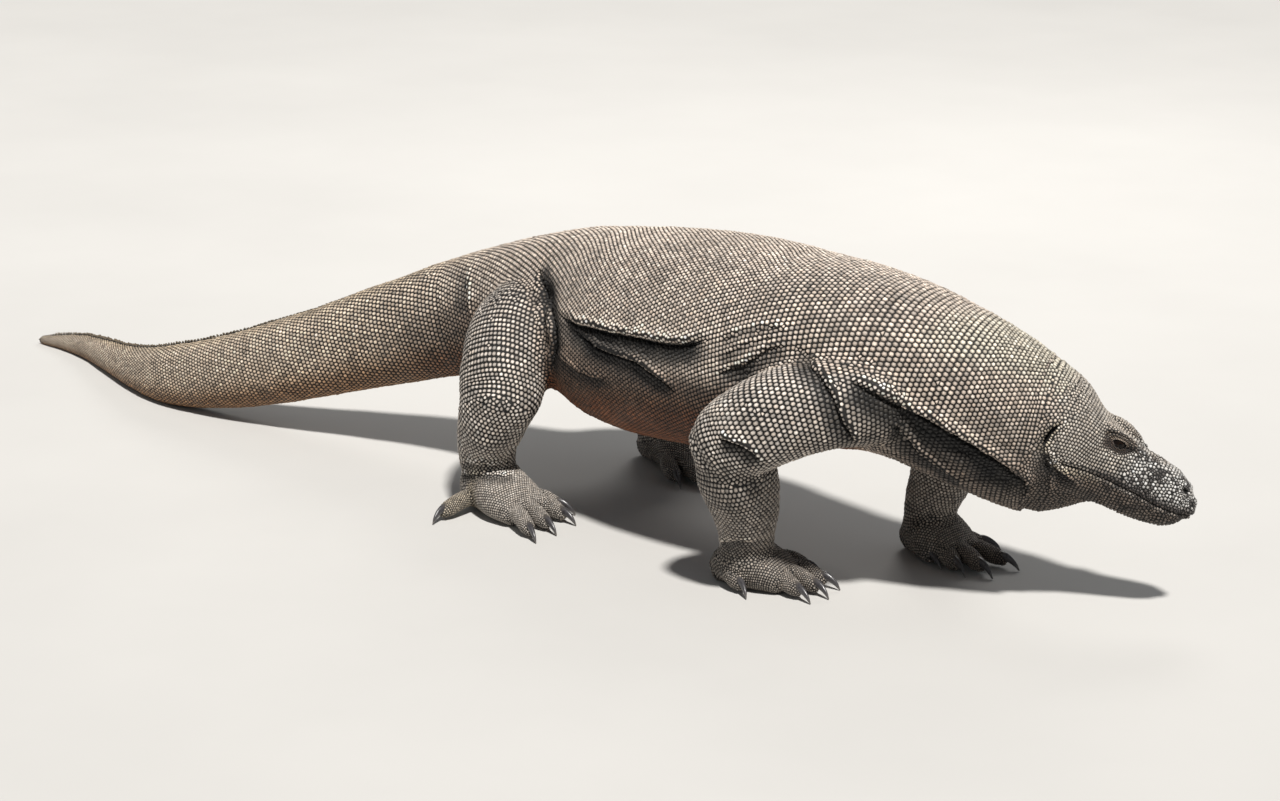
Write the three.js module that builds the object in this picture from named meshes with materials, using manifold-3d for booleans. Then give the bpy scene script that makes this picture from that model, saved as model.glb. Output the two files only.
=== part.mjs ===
// Komodo dragon, life size, walking pose held still. Millimetres, +Z up, floor at z = 0.
// Body frame while building: x along the trunk towards the chest, y to the animal's left,
// origin on the floor below the hips. The finished group is shifted to its bottom centre.
import * as THREE from 'three';
import { mergeVertices } from 'three/addons/utils/BufferGeometryUtils.js';
import Module from 'manifold-3d';

const wasm = await Module();
wasm.setup();
const { Manifold, Mesh: SolidMesh } = wasm;

// ---- driving sizes -------------------------------------------------------------------
const GAP = 0.3; // clearance between neighbouring solids
const SPINE_SIDES = 20; // facets round the trunk, neck and tail
const HEAD_SIDES = 20;
const LEG_SIDES = 12;
const SLIVER = 0.08; // slivers left by a cut are cleared to this
const PALM_SIDES = 10;
const TOE_SIDES = 7;
const CLAW_SIDES = 5;
const BODY_POWER = 2.3; // superellipse power of a body section, 2 is an ellipse
const HEAD_POWER = 2.4;
const EAR_CENTRE = [814.3, 151.7, 255.6]; // middle of the skull between the ears
const HEAD_YAW = 36.25; // degrees to the left of the trunk
const HEAD_PITCH = 22; // degrees nose down
const HEAD_JOINT = -12; // neck to head joint, mm ahead of the ears
const JAW_JOINT = 24; // rear face of the lower jaw, mm ahead of the ears
const EYE_RADIUS = 10.5;
const EYE_SPOT = [87, 25.5, 14.5]; // ahead of the ears, off the middle plane, above the ears
const NOSTRIL_SPOT = [193, 17, -10];
const NOSTRIL_RADIUS = 3.4;
const EAR_SLIT = { length: 32, width: 8, depth: 9, lean: 12 };
const CLAW_LENGTH = 31;

// ---- body sections: x, y, z of the middle, half width, half height above and below ------
const TAIL = [
  [-1244, -226, 6.5, 6, 6.5, 7],
  [-1224, -222, 8.5, 9.5, 9, 9.5],
  [-1176, -214, 13, 13, 15, 14.5],
  [-1100, -213, 20, 17, 22.5, 22],
  [-990, -228, 27, 22, 29, 28.5],
  [-880, -246, 36, 27, 38, 37.5],
  [-770, -248, 48, 34, 49, 49],
  [-650, -218, 73, 42, 59, 58],
  [-520, -168, 113, 50, 69, 66],
  [-380, -108, 165, 59, 80, 75],
  [-240, -54, 212, 71, 96, 83],
  [-110, -18, 245, 88, 112, 92],
];
const TRUNK = [
  [20, 0, 256, 122, 142, 108],
  [150, 3, 258, 156, 160, 129],
  [260, 5, 268, 166, 164, 135],
  [361, 9, 280, 166, 159, 134],
  [458, 16, 292, 158, 147, 130],
  [546, 28, 304, 142, 132, 120],
];
const NECK = [
  [625, 48, 302, 124, 121, 112],
  [690, 74, 284, 110, 115, 112],
  [740, 102, 263, 98, 111, 114],
  [786, 132, 245, 84, 100, 115],
  [812, 150, 238, 73, 84, 116],
  [836, 168, 222, 56, 56, 105],
  [852, 180, 212, 42, 34, 84],
  [874, 196, 200, 20, 16, 52],
];
const SPINE = [...TAIL, ...TRUNK, ...NECK];
// the spine is parted square to itself at these sections
const SPINE_CUTS = {
  tail_tip: 3.5, tail_rear: 6.5, tail_middle: 8.5, tail_base: 11.4, pelvis: 13.3, belly: 16, chest: 18.5,
};
// head sections in the skull's own frame: ahead of the ears, above the ears, half width, up, down
const SKULL = [
  [-35, -4, 66, 76, 84],
  [0, -10, 65, 68, 74],
  [30, -16, 60, 61, 64],
  [60, -24, 51, 54, 56],
  [90, -28, 43, 50, 51],
  [120, -31, 36.5, 46, 48],
  [150, -32, 31.5, 43.5, 46],
  [178, -34, 27, 39, 39],
  [197, -34, 20.5, 29, 28],
  [206.5, -34, 12, 17, 15],
];
const BROW = [
  [52, 17, 24, 5, 5, 5],
  [74, 22.5, 25, 9.5, 8.5, 9],
  [100, 21.5, 19, 9, 7.5, 8.5],
  [120, 17, 12, 4, 4, 4],
];
// the line of the lips, ahead of and above the ears
const LIP_LINE = [[JAW_JOINT, -33], [60, -31.5], [96, -33], [132, -36.5], [165, -41], [190, -41.5], [240, -40]];
const JAW_FLOOR = -200;

// ---- legs: the same six numbers a row, and which way a section's height points ----------
const LEGS = {
  fore_right: {
    side: -1,
    upper: {
      up: [0, 0, 1],
      rows: [[655, -20, 280, 74, 66, 54], [616, -84, 272, 70, 68, 54], [570, -136, 250, 64, 66, 56],
        [524, -164, 218, 56, 60, 54], [503, -174, 202, 44, 46, 42]],
    },
    lower: {
      up: [1, 0, 0],
      rows: [[512, -162, 224, 46, 50, 44], [518, -152, 172, 53, 55, 51], [513, -132, 118, 46, 47, 43],
        [503, -119, 72, 36, 36, 36], [500, -116, 38, 31, 33, 32]],
    },
    palm: [[458, -125, 18, 22, 17, 25], [476, -120, 29, 33, 26, 33], [500, -110, 34, 43, 32, 38],
      [530, -98, 26, 43, 24, 30], [552, -90, 18, 36, 16, 22]],
    toes: [[[478, -66], [502, -42], [523, -33], [-0.5, 1]], [[520, -76], [548, -58], [570, -49], [-0.1, 1]],
      [[528, -88], [562, -79], [586, -76], [-0.2, 1]], [[520, -104], [556, -104], [584, -105], [0, 1]],
      [[478, -134], [500, -145], [516, -148], [-0.35, 1]]],
  },
  fore_left: {
    side: 1,
    upper: {
      up: [0, 0, 1],
      rows: [[665, 105, 262, 66, 64, 60], [648, 152, 234, 61, 58, 56], [616, 178, 206, 53, 51, 50],
        [604, 188, 193, 42, 42, 40]],
    },
    lower: {
      up: [1, 0, 0],
      rows: [[604, 177, 206, 47, 47, 46], [591, 177, 155, 48, 48, 47], [575, 176, 108, 42, 43, 42],
        [563, 174, 70, 36, 37, 37], [565, 173, 38, 32, 33, 33]],
    },
    palm: [[530, 170, 18, 22, 17, 25], [548, 171, 29, 33, 26, 33], [572, 171, 34, 43, 32, 38],
      [602, 172, 26, 43, 24, 30], [626, 174, 18, 37, 16, 22]],
    toes: [[[560, 146], [580, 138], [596, 135], [0, 1]], [[598, 156], [622, 144], [642, 139], [0, 1]],
      [[606, 168], [642, 163], [668, 160], [0, 1]], [[600, 182], [640, 192], [668, 200], [0, 1]],
      [[566, 194], [588, 212], [602, 226], [0, 1]]],
  },
  hind_right: {
    side: -1,
    upper: {
      up: [1, 0, 0.3],
      rows: [[-16, -56, 262, 80, 84, 72], [-6, -112, 244, 76, 80, 74], [16, -158, 208, 64, 68, 66],
        [34, -182, 174, 54, 58, 56], [42, -193, 158, 44, 46, 44]],
    },
    lower: {
      up: [1, 0, 0],
      rows: [[38, -186, 184, 50, 52, 50], [20, -187, 140, 49, 50, 48], [-2, -182, 100, 42, 44, 42],
        [-9, -176, 64, 39, 44, 38], [-2, -175, 36, 36, 42, 35]],
    },
    palm: [[-44, -174, 18, 24, 20, 26], [-20, -176, 30, 37, 32, 35], [20, -180, 34, 43, 34, 38],
      [62, -184, 27, 47, 25, 31], [96, -184, 18, 42, 16, 22]],
    toes: [[[46, -148], [68, -134], [84, -126], [0, 1]], [[72, -158], [98, -148], [120, -145], [0, 1]],
      [[82, -178], [112, -183], [138, -186], [0, 1]], [[80, -200], [120, -214], [148, -223], [0, 1]],
      [[-6, -196], [4, -232], [9, -262], [0.25, 1]]],
  },
  hind_left: {
    side: 1,
    upper: {
      up: [1, 0, 0.3],
      rows: [[-16, 56, 262, 80, 84, 72], [-6, 112, 244, 76, 80, 74], [16, 158, 208, 64, 68, 66],
        [34, 182, 174, 54, 58, 56], [42, 193, 158, 44, 46, 44]],
    },
    lower: {
      up: [1, 0, 0],
      rows: [[38, 186, 184, 50, 52, 50], [18, 186, 140, 49, 50, 48], [-8, 178, 100, 42, 44, 42],
        [-15, 172, 64, 39, 44, 38], [-8, 170, 36, 36, 42, 35]],
    },
    palm: [[-50, 170, 18, 24, 20, 26], [-26, 170, 30, 37, 32, 35], [14, 170, 34, 43, 34, 38],
      [56, 168, 27, 47, 25, 31], [90, 164, 18, 42, 16, 22]],
    toes: [[[42, 130], [66, 110], [86, 102], [0, 1]], [[66, 142], [94, 130], [116, 124], [0, 1]],
      [[76, 160], [108, 160], [134, 160], [0, 1]], [[74, 182], [114, 194], [142, 202], [0, 1]],
      [[-12, 192], [-2, 226], [4, 254], [0.3, 1]]],
  },
};
// a toe's heights and radii at its root, knuckle, last joint and end
const TOE_HEIGHT = [20, 21, 15, 11.5];
const TOE_RADIUS = [13, 12, 11, 7.5];
const TOE_END_AHEAD = 9;
// a claw from inside the toe to its point: share of its length, height and radius
const CLAW_SHAPE = [[-0.3, 16, 6.6], [0.1, 18, 6.6], [0.45, 15.5, 5.2], [0.78, 9, 3.3], [1, 1.4, 0.9]];

// ---- colours -----------------------------------------------------------------------------
const SKIN_TONES = {
  head: 0x6f6a62, jaw: 0x6a6058, neck: 0x8a7c6a, chest: 0x7f7465, belly: 0x7b705f, pelvis: 0x756b5c,
  tail: 0x807357, upper: 0x67615a, lower: 0x5d5853, foot: 0x4e4b49,
};
const EYE_TONE = 0x1b1512;
const CLAW_TONE = 0x2c2f33;

// ---- solids ----------------------------------------------------------------------------------
const catmull = (a, b, c, d, t) => 0.5 * (2 * b + (c - a) * t + (2 * a - 5 * b + 4 * c - d) * t * t
  + (3 * b - a - 3 * c + d) * t ** 3);

// rows thickened along a Catmull-Rom curve, perSpan steps between two rows
function smoothRows(rows, perSpan) {
  const first = rows[0].map((v, k) => 2 * v - rows[1][k]);
  const last = rows.at(-1).map((v, k) => 2 * v - rows.at(-2)[k]);
  const all = [first, ...rows, last];
  const out = [];
  for (let i = 0; i < rows.length - 1; i += 1) {
    for (let step = 0; step < perSpan; step += 1) {
      out.push(rows[i].map((_, k) => catmull(all[i][k], all[i + 1][k], all[i + 2][k], all[i + 3][k], step / perSpan)));
    }
  }
  out.push(rows.at(-1));
  return out;
}

const place = (row) => new THREE.Vector3(row[0], row[1], row[2]);

// the direction of travel at row i
function heading(rows, i) {
  const before = place(rows[Math.max(i - 1, 0)]);
  const after = place(rows[Math.min(i + 1, rows.length - 1)]);
  return after.sub(before).normalize();
}

function solidFrom(points, triangles) {
  return new Manifold(new SolidMesh({
    numProp: 3,
    vertProperties: new Float32Array(points.flatMap((p) => [p.x, p.y, p.z])),
    triVerts: new Uint32Array(triangles),
  }));
}

// a closed body swept through superellipse sections, grown all round by grow
function sweep(rows, { up = [0, 0, 1], power = BODY_POWER, sides = LEG_SIDES, perSpan = 1, grow = 0 } = {}) {
  const fine = smoothRows(rows, perSpan);
  const upward = new THREE.Vector3(...up);
  const points = [];
  const triangles = [];
  fine.forEach((row, i) => {
    const ahead = heading(fine, i);
    const across = upward.clone().cross(ahead).normalize();
    const above = ahead.clone().cross(across);
    const end = Number(i === fine.length - 1) - Number(i === 0);
    const middle = place(row).addScaledVector(ahead, end * grow);
    for (let k = 0; k < sides; k += 1) {
      const angle = (2 * Math.PI * k) / sides;
      const c = Math.cos(angle);
      const s = Math.sin(angle);
      const width = row[3] + grow;
      const height = (s >= 0 ? row[4] : row[5]) + grow;
      const reach = (Math.abs(c / width) ** power + Math.abs(s / height) ** power) ** (-1 / power);
      points.push(middle.clone().addScaledVector(across, reach * c).addScaledVector(above, reach * s));
    }
  });
  const lastRing = (fine.length - 1) * sides;
  for (let ring = 0; ring < lastRing; ring += sides) {
    for (let k = 0; k < sides; k += 1) {
      const next = (k + 1) % sides;
      triangles.push(ring + k, ring + next, ring + sides + next, ring + k, ring + sides + next, ring + sides + k);
    }
  }
  for (let k = 1; k < sides - 1; k += 1) {
    triangles.push(0, k + 1, k, lastRing, lastRing + k, lastRing + k + 1);
  }
  return solidFrom(points, triangles);
}

function fromGeometry(geometry) {
  geometry.deleteAttribute('normal');
  geometry.deleteAttribute('uv');
  const merged = mergeVertices(geometry, 1e-4);
  const spots = merged.getAttribute('position');
  const points = Array.from({ length: spots.count }, (_, i) => new THREE.Vector3().fromBufferAttribute(spots, i));
  return solidFrom(points, Array.from(merged.index.array));
}

const union = (solids) => solids.reduce((sum, solid) => sum.add(solid));
const onFloor = (solid) => solid.trimByPlane([0, 0, 1], 0);

function largestPiece(solid) {
  const pieces = solid.simplify(SLIVER).decompose();
  return pieces.reduce((best, piece) => (piece.volume() > best.volume() ? piece : best));
}

// splits off what lies behind a plane, with the gap taken from the part ahead
function split(solid, point, normal) {
  const n = normal.toArray();
  const offset = point.dot(normal);
  return {
    behind: solid.trimByPlane(n.map((v) => -v), -offset),
    ahead: solid.trimByPlane(n, offset + GAP),
  };
}

// ---- head frame ----------------------------------------------------------------------------
const yaw = THREE.MathUtils.degToRad(HEAD_YAW);
const pitch = THREE.MathUtils.degToRad(HEAD_PITCH);
const headAhead = new THREE.Vector3(Math.cos(yaw) * Math.cos(pitch), Math.sin(yaw) * Math.cos(pitch), -Math.sin(pitch));
const headLeft = new THREE.Vector3(-Math.sin(yaw), Math.cos(yaw), 0);
const headUp = headAhead.clone().cross(headLeft);
const headFrame = new THREE.Matrix4().makeBasis(headAhead, headLeft, headUp).setPosition(...EAR_CENTRE);
const fromHead = (ahead, left, above) => new THREE.Vector3(ahead, left, above).applyMatrix4(headFrame);
const headRow = (ahead, left, above, ...sizes) => [...fromHead(ahead, left, above).toArray(), ...sizes];
const intoHead = (geometry) => fromGeometry(geometry.applyMatrix4(headFrame));

function skullSolid() {
  const rows = SKULL.map(([ahead, above, ...sizes]) => headRow(ahead, 0, above, ...sizes));
  const skull = sweep(rows, { up: headUp.toArray(), power: HEAD_POWER, sides: HEAD_SIDES });
  const brows = [-1, 1].map((side) => sweep(
    BROW.map(([ahead, left, above, ...sizes]) => headRow(ahead, side * left, above, ...sizes)),
    { up: headUp.toArray(), sides: TOE_SIDES },
  ));
  return union([skull, ...brows]);
}

// everything below the lips and ahead of the jaw joint, grown by grow
function jawRegion(grow) {
  const shape = new THREE.Shape();
  LIP_LINE.forEach(([ahead, above], i) => {
    const corner = i === 0 ? ahead - grow : ahead;
    if (i === 0) {
      shape.moveTo(corner, above + grow);
    } else {
      shape.lineTo(corner, above + grow);
    }
  });
  shape.lineTo(LIP_LINE.at(-1)[0], JAW_FLOOR);
  shape.lineTo(JAW_JOINT - grow, JAW_FLOOR);
  const reach = 200;
  const region = new THREE.ExtrudeGeometry(shape, { depth: 2 * reach, bevelEnabled: false, steps: 1 });
  // the drawing plane is ahead and above, the extrusion goes across the head
  region.applyMatrix4(new THREE.Matrix4().makeBasis(
    new THREE.Vector3(1, 0, 0), new THREE.Vector3(0, 0, 1), new THREE.Vector3(0, -1, 0),
  ));
  region.translate(0, reach, 0);
  return intoHead(region);
}

function ball(radius, [ahead, left, above], columns, bands) {
  const sphere = new THREE.SphereGeometry(radius, columns, bands);
  return intoHead(sphere.translate(ahead, left, above));
}

function earPit(side) {
  const { length, width, depth, lean } = EAR_SLIT;
  const pit = new THREE.SphereGeometry(1, 8, 4);
  pit.scale(width / 2, depth, length / 2);
  pit.rotateY(THREE.MathUtils.degToRad(lean));
  return intoHead(pit.translate(0, side * 65, 0));
}

// ---- legs -----------------------------------------------------------------------------------
function toeRows([root, knuckle, joint]) {
  const ahead = new THREE.Vector2(joint[0] - knuckle[0], joint[1] - knuckle[1]).normalize();
  const end = [joint[0] + ahead.x * TOE_END_AHEAD, joint[1] + ahead.y * TOE_END_AHEAD];
  return [root, knuckle, joint, end].map(([x, y], i) => [
    x, y, TOE_HEIGHT[i], TOE_RADIUS[i], TOE_RADIUS[i], TOE_RADIUS[i],
  ]);
}

// a claw leaves the toe's end, bends a little to one side and comes down to the floor
function clawRows([, knuckle, joint, [bend]]) {
  const ahead = new THREE.Vector2(joint[0] - knuckle[0], joint[1] - knuckle[1]).normalize();
  const aside = new THREE.Vector2(-ahead.y, ahead.x);
  return CLAW_SHAPE.map(([share, height, radius]) => {
    const reach = TOE_END_AHEAD * 0.5 + share * CLAW_LENGTH;
    const sway = bend * share * share * CLAW_LENGTH * 0.5;
    return [
      joint[0] + ahead.x * reach + aside.x * sway,
      joint[1] + ahead.y * reach + aside.y * sway,
      height, radius * 0.72, radius, radius,
    ];
  });
}

function footSolid(leg, grow) {
  const palm = sweep(leg.palm, { sides: PALM_SIDES, grow });
  const toes = leg.toes.map((toe) => sweep(toeRows(toe), { sides: TOE_SIDES, grow }));
  return union([palm, ...toes]);
}

// ---- the parted body ---------------------------------------------------------------------------
const nodes = new Map();
const spineSolid = (grow) => sweep(SPINE, { sides: SPINE_SIDES, grow });
const flesh = onFloor(union([spineSolid(0), skullSolid()]));
const fleshGrown = union([spineSolid(GAP), skullSolid()]);

const fineSpine = smoothRows(SPINE, 10);
let rest = flesh;
for (const [name, station] of Object.entries(SPINE_CUTS)) {
  const i = Math.round(station * 10);
  const parts = split(rest, place(fineSpine[i]), heading(fineSpine, i));
  nodes.set(name, parts.behind);
  rest = parts.ahead;
}
const joint = split(rest, fromHead(HEAD_JOINT, 0, 0), headAhead);
nodes.set('neck', joint.behind);

const eyeSpots = { right: [EYE_SPOT[0], -EYE_SPOT[1], EYE_SPOT[2]], left: EYE_SPOT };
const pits = Object.values(eyeSpots).map((spot) => ball(EYE_RADIUS + GAP, spot, 12, 8));
for (const side of [-1, 1]) {
  const [ahead, left, above] = NOSTRIL_SPOT;
  pits.push(ball(NOSTRIL_RADIUS, [ahead, side * left, above], 6, 4), earPit(side));
}
nodes.set('head', largestPiece(joint.ahead.subtract(jawRegion(GAP)).subtract(union(pits))));
nodes.set('jaw', largestPiece(joint.ahead.intersect(jawRegion(0))));
for (const [name, spot] of Object.entries(eyeSpots)) {
  nodes.set(`eye_${name}`, ball(EYE_RADIUS, spot, 12, 8));
}

for (const [name, leg] of Object.entries(LEGS)) {
  const upper = (grow) => sweep(leg.upper.rows, { up: leg.upper.up, grow });
  const lower = (grow) => sweep(leg.lower.rows, { up: leg.lower.up, grow });
  nodes.set(`${name}_upper`, largestPiece(upper(0).subtract(fleshGrown)));
  nodes.set(`${name}_lower`, largestPiece(onFloor(lower(0).subtract(upper(GAP)).subtract(fleshGrown))));
  nodes.set(`${name}_foot`, largestPiece(onFloor(footSolid(leg, 0).subtract(lower(GAP)))));
  const grownFoot = footSolid(leg, GAP);
  leg.toes.forEach((toe, i) => {
    const claw = sweep(clawRows(toe), { sides: CLAW_SIDES });
    nodes.set(`${name}_claw_${i + 1}`, largestPiece(claw.subtract(grownFoot)));
  });
}

// ---- meshes -------------------------------------------------------------------------------------
function toneOf(name) {
  if (name.startsWith('eye')) return EYE_TONE;
  if (name.includes('claw')) return CLAW_TONE;
  const key = Object.keys(SKIN_TONES).find((part) => name.startsWith(part) || name.endsWith(part));
  return SKIN_TONES[key];
}

function roughnessOf(name) {
  if (name.startsWith('eye')) return 0.08;
  return name.includes('claw') ? 0.35 : 0.75;
}

const dragon = new THREE.Group();
dragon.name = 'komodo_dragon';
for (const [name, solid] of nodes) {
  const { numProp, vertProperties, triVerts } = solid.getMesh();
  const geometry = new THREE.BufferGeometry();
  const spots = new Float32Array((vertProperties.length / numProp) * 3);
  for (let v = 0; v < spots.length / 3; v += 1) {
    for (let k = 0; k < 3; k += 1) {
      spots[v * 3 + k] = vertProperties[v * numProp + k];
    }
  }
  geometry.setAttribute('position', new THREE.BufferAttribute(spots, 3));
  geometry.setIndex(Array.from(triVerts));
  geometry.computeVertexNormals();
  const material = new THREE.MeshStandardMaterial({
    color: toneOf(name), roughness: roughnessOf(name), metalness: 0,
  });
  const mesh = new THREE.Mesh(geometry, material);
  mesh.name = name;
  dragon.add(mesh);
}

const box = new THREE.Box3().setFromObject(dragon);
const centre = box.getCenter(new THREE.Vector3());
for (const mesh of dragon.children) {
  mesh.geometry.translate(-centre.x, -centre.y, -box.min.z);
}

export default dragon;
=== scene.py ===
"""Komodo dragon, life size: one skin over the flesh, solid scales on it, eyes, claws, light, camera."""

import math

import bpy
import numpy as np
import openvdb
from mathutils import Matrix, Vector
from mathutils.bvhtree import BVHTree
from mathutils.kdtree import KDTree


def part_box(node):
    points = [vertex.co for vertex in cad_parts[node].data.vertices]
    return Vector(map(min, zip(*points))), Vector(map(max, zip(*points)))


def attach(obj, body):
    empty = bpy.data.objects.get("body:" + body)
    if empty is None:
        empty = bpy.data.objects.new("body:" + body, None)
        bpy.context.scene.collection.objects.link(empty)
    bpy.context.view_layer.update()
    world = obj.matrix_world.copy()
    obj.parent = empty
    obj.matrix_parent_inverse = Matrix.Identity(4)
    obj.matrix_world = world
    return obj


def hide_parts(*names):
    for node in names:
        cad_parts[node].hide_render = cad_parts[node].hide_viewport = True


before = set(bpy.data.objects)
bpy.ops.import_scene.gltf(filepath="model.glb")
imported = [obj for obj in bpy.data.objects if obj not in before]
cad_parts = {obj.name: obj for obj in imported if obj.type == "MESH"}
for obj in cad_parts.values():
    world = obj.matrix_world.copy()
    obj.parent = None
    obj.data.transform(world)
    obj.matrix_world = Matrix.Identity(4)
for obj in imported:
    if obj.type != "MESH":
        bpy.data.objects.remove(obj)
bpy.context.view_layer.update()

MM = 0.001
SEED = 11
rng = np.random.default_rng(SEED)
f32 = np.float32

# ---- body sections, mm in the build frame of the CAD: x, y, z, half width, half height above, below ----
TAIL = [
    [-1244, -226, 6.5, 6, 6.5, 7],
    [-1224, -222, 8.5, 9.5, 9, 9.5],
    [-1176, -214, 13, 13, 15, 14.5],
    [-1100, -213, 20, 17, 22.5, 22],
    [-990, -228, 27, 22, 29, 28.5],
    [-880, -246, 36, 27, 38, 37.5],
    [-770, -248, 48, 34, 49, 49],
    [-650, -218, 73, 42, 59, 58],
    [-520, -168, 113, 50, 69, 66],
    [-380, -108, 165, 59, 80, 75],
    [-240, -54, 212, 71, 96, 83],
    [-110, -18, 245, 88, 112, 92],
]
TRUNK = [
    [20, 0, 256, 122, 142, 108],
    [150, 3, 258, 156, 160, 129],
    [260, 5, 268, 166, 164, 135],
    [361, 9, 280, 166, 159, 134],
    [458, 16, 292, 158, 147, 130],
    [546, 28, 304, 142, 132, 120],
]
NECK = [
    [625, 48, 302, 124, 121, 112],
    [690, 74, 284, 110, 115, 112],
    [740, 102, 263, 98, 111, 114],
    [786, 132, 245, 84, 100, 115],
    [812, 150, 238, 73, 84, 116],
    [836, 168, 222, 56, 56, 105],
    [852, 180, 212, 42, 34, 84],
    [874, 196, 200, 20, 16, 52],
]
SKULL = [
    [-35, -4, 66, 76, 84],
    [0, -10, 65, 68, 74],
    [30, -16, 60, 61, 64],
    [60, -24, 51, 54, 56],
    [90, -28, 43, 50, 51],
    [120, -31, 36.5, 46, 48],
    [150, -32, 31.5, 43.5, 46],
    [178, -34, 27, 39, 39],
    [197, -34, 20.5, 29, 28],
    [206.5, -34, 12, 17, 15],
]
BROW = [
    [52, 17, 24, 5, 5, 5],
    [74, 22.5, 25, 9.5, 8.5, 9],
    [100, 21.5, 19, 9, 7.5, 8.5],
    [120, 17, 12, 4, 4, 4],
]
LIP_LINE = np.array([[24, -33], [60, -31.5], [96, -33], [132, -36.5], [165, -41], [190, -41.5], [240, -40]])
EAR_CENTRE = np.array([814.3, 151.7, 255.6])
HEAD_YAW, HEAD_PITCH = math.radians(36.25), math.radians(22)
EYE_RADIUS = 10.5
EYE_SPOT = np.array([87, 25.5, 14.5])
NOSTRIL_SPOT = np.array([193, 17, -10.0])

Z_UP = (0, 0, 1)
# Each toe: points of its centre line x, y, and the sideways bend of its claw.
LEGS = {
    "fore_right": dict(
        upper=[[655, -20, 280, 74, 66, 54], [616, -84, 272, 70, 68, 54], [570, -136, 250, 64, 66, 56],
               [524, -164, 218, 56, 60, 54], [503, -174, 202, 44, 46, 42]], upper_up=Z_UP,
        lower=[[512, -162, 224, 46, 50, 44], [518, -152, 172, 53, 55, 51], [513, -132, 118, 46, 47, 43],
               [503, -119, 72, 36, 36, 36], [500, -116, 38, 31, 33, 32]],
        palm=[[458, -125, 18, 22, 17, 25], [476, -120, 29, 33, 26, 33], [500, -110, 34, 43, 32, 38],
              [530, -98, 26, 43, 24, 30], [552, -90, 18, 36, 16, 22]],
        toes=[[[478, -66], [502, -42], [523, -33], -0.5], [[520, -76], [548, -58], [570, -49], -0.1],
              [[528, -88], [562, -79], [586, -76], -0.2], [[520, -104], [556, -104], [584, -105], 0],
              [[478, -134], [500, -145], [516, -148], -0.35]]),
    "fore_left": dict(
        upper=[[665, 105, 262, 66, 64, 60], [648, 152, 234, 61, 58, 56], [616, 178, 206, 53, 51, 50],
               [604, 188, 193, 42, 42, 40]], upper_up=Z_UP,
        lower=[[604, 177, 206, 47, 47, 46], [591, 177, 155, 48, 48, 47], [575, 176, 108, 42, 43, 42],
               [563, 174, 70, 36, 37, 37], [565, 173, 38, 32, 33, 33]],
        palm=[[530, 170, 18, 22, 17, 25], [548, 171, 29, 33, 26, 33], [572, 171, 34, 43, 32, 38],
              [602, 172, 26, 43, 24, 30], [626, 174, 18, 37, 16, 22]],
        toes=[[[560, 146], [580, 138], [596, 135], 0], [[598, 156], [622, 144], [642, 139], 0],
              [[606, 168], [642, 163], [668, 160], 0], [[600, 182], [640, 192], [668, 200], 0],
              [[566, 194], [588, 212], [602, 226], 0]]),
    "hind_right": dict(
        upper=[[-16, -56, 262, 80, 84, 72], [-6, -112, 244, 76, 80, 74], [16, -158, 208, 64, 68, 66],
               [34, -182, 174, 54, 58, 56], [42, -193, 158, 44, 46, 44]], upper_up=(1, 0, 0.3),
        lower=[[38, -186, 184, 50, 52, 50], [20, -187, 140, 49, 50, 48], [-2, -182, 100, 42, 44, 42],
               [-9, -176, 64, 39, 44, 38], [-2, -175, 36, 36, 42, 35]],
        palm=[[-44, -174, 18, 24, 20, 26], [-20, -176, 30, 37, 32, 35], [20, -180, 34, 43, 34, 38],
              [62, -184, 27, 47, 25, 31], [96, -184, 18, 42, 16, 22]],
        toes=[[[46, -148], [68, -134], [84, -126], 0], [[72, -158], [98, -148], [120, -145], 0],
              [[82, -178], [112, -183], [138, -186], 0], [[80, -200], [120, -214], [148, -223], 0],
              [[-6, -196], [4, -232], [9, -262], 0.25]]),
    "hind_left": dict(
        upper=[[-16, 56, 262, 80, 84, 72], [-6, 112, 244, 76, 80, 74], [16, 158, 208, 64, 68, 66],
               [34, 182, 174, 54, 58, 56], [42, 193, 158, 44, 46, 44]], upper_up=(1, 0, 0.3),
        lower=[[38, 186, 184, 50, 52, 50], [18, 186, 140, 49, 50, 48], [-8, 178, 100, 42, 44, 42],
               [-15, 172, 64, 39, 44, 38], [-8, 170, 36, 36, 42, 35]],
        palm=[[-50, 170, 18, 24, 20, 26], [-26, 170, 30, 37, 32, 35], [14, 170, 34, 43, 34, 38],
              [56, 168, 27, 47, 25, 31], [90, 164, 18, 42, 16, 22]],
        toes=[[[42, 130], [66, 110], [86, 102], 0], [[66, 142], [94, 130], [116, 124], 0],
              [[76, 160], [108, 160], [134, 160], 0], [[74, 182], [114, 194], [142, 202], 0],
              [[-12, 192], [-2, 226], [4, 254], 0.3]]),
}
TOE_HEIGHT = [20, 21, 15, 11.5]
TOE_RADIUS = [13, 12, 11, 7.5]
TOE_END_AHEAD = 9
CLAW_SHAPE = [[-0.3, 16, 6.6], [0.1, 18, 6.6], [0.45, 15.5, 5.2], [0.78, 9, 3.3], [1, 1.4, 0.9]]
CLAW_LENGTH = 31

# ---- head frame ----
HEAD_AHEAD = np.array([math.cos(HEAD_YAW) * math.cos(HEAD_PITCH), math.sin(HEAD_YAW) * math.cos(HEAD_PITCH),
                       -math.sin(HEAD_PITCH)])
HEAD_LEFT = np.array([-math.sin(HEAD_YAW), math.cos(HEAD_YAW), 0])
HEAD_UP = np.cross(HEAD_AHEAD, HEAD_LEFT)
HEAD_AXES = np.stack([HEAD_AHEAD, HEAD_LEFT, HEAD_UP])


def from_head(p):
    return EAR_CENTRE + np.asarray(p, float) @ HEAD_AXES


def to_head(p):
    return (p - EAR_CENTRE) @ HEAD_AXES.T


def unit(v):
    return v / np.maximum(np.linalg.norm(v, axis=-1, keepdims=True), 1e-9)


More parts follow.
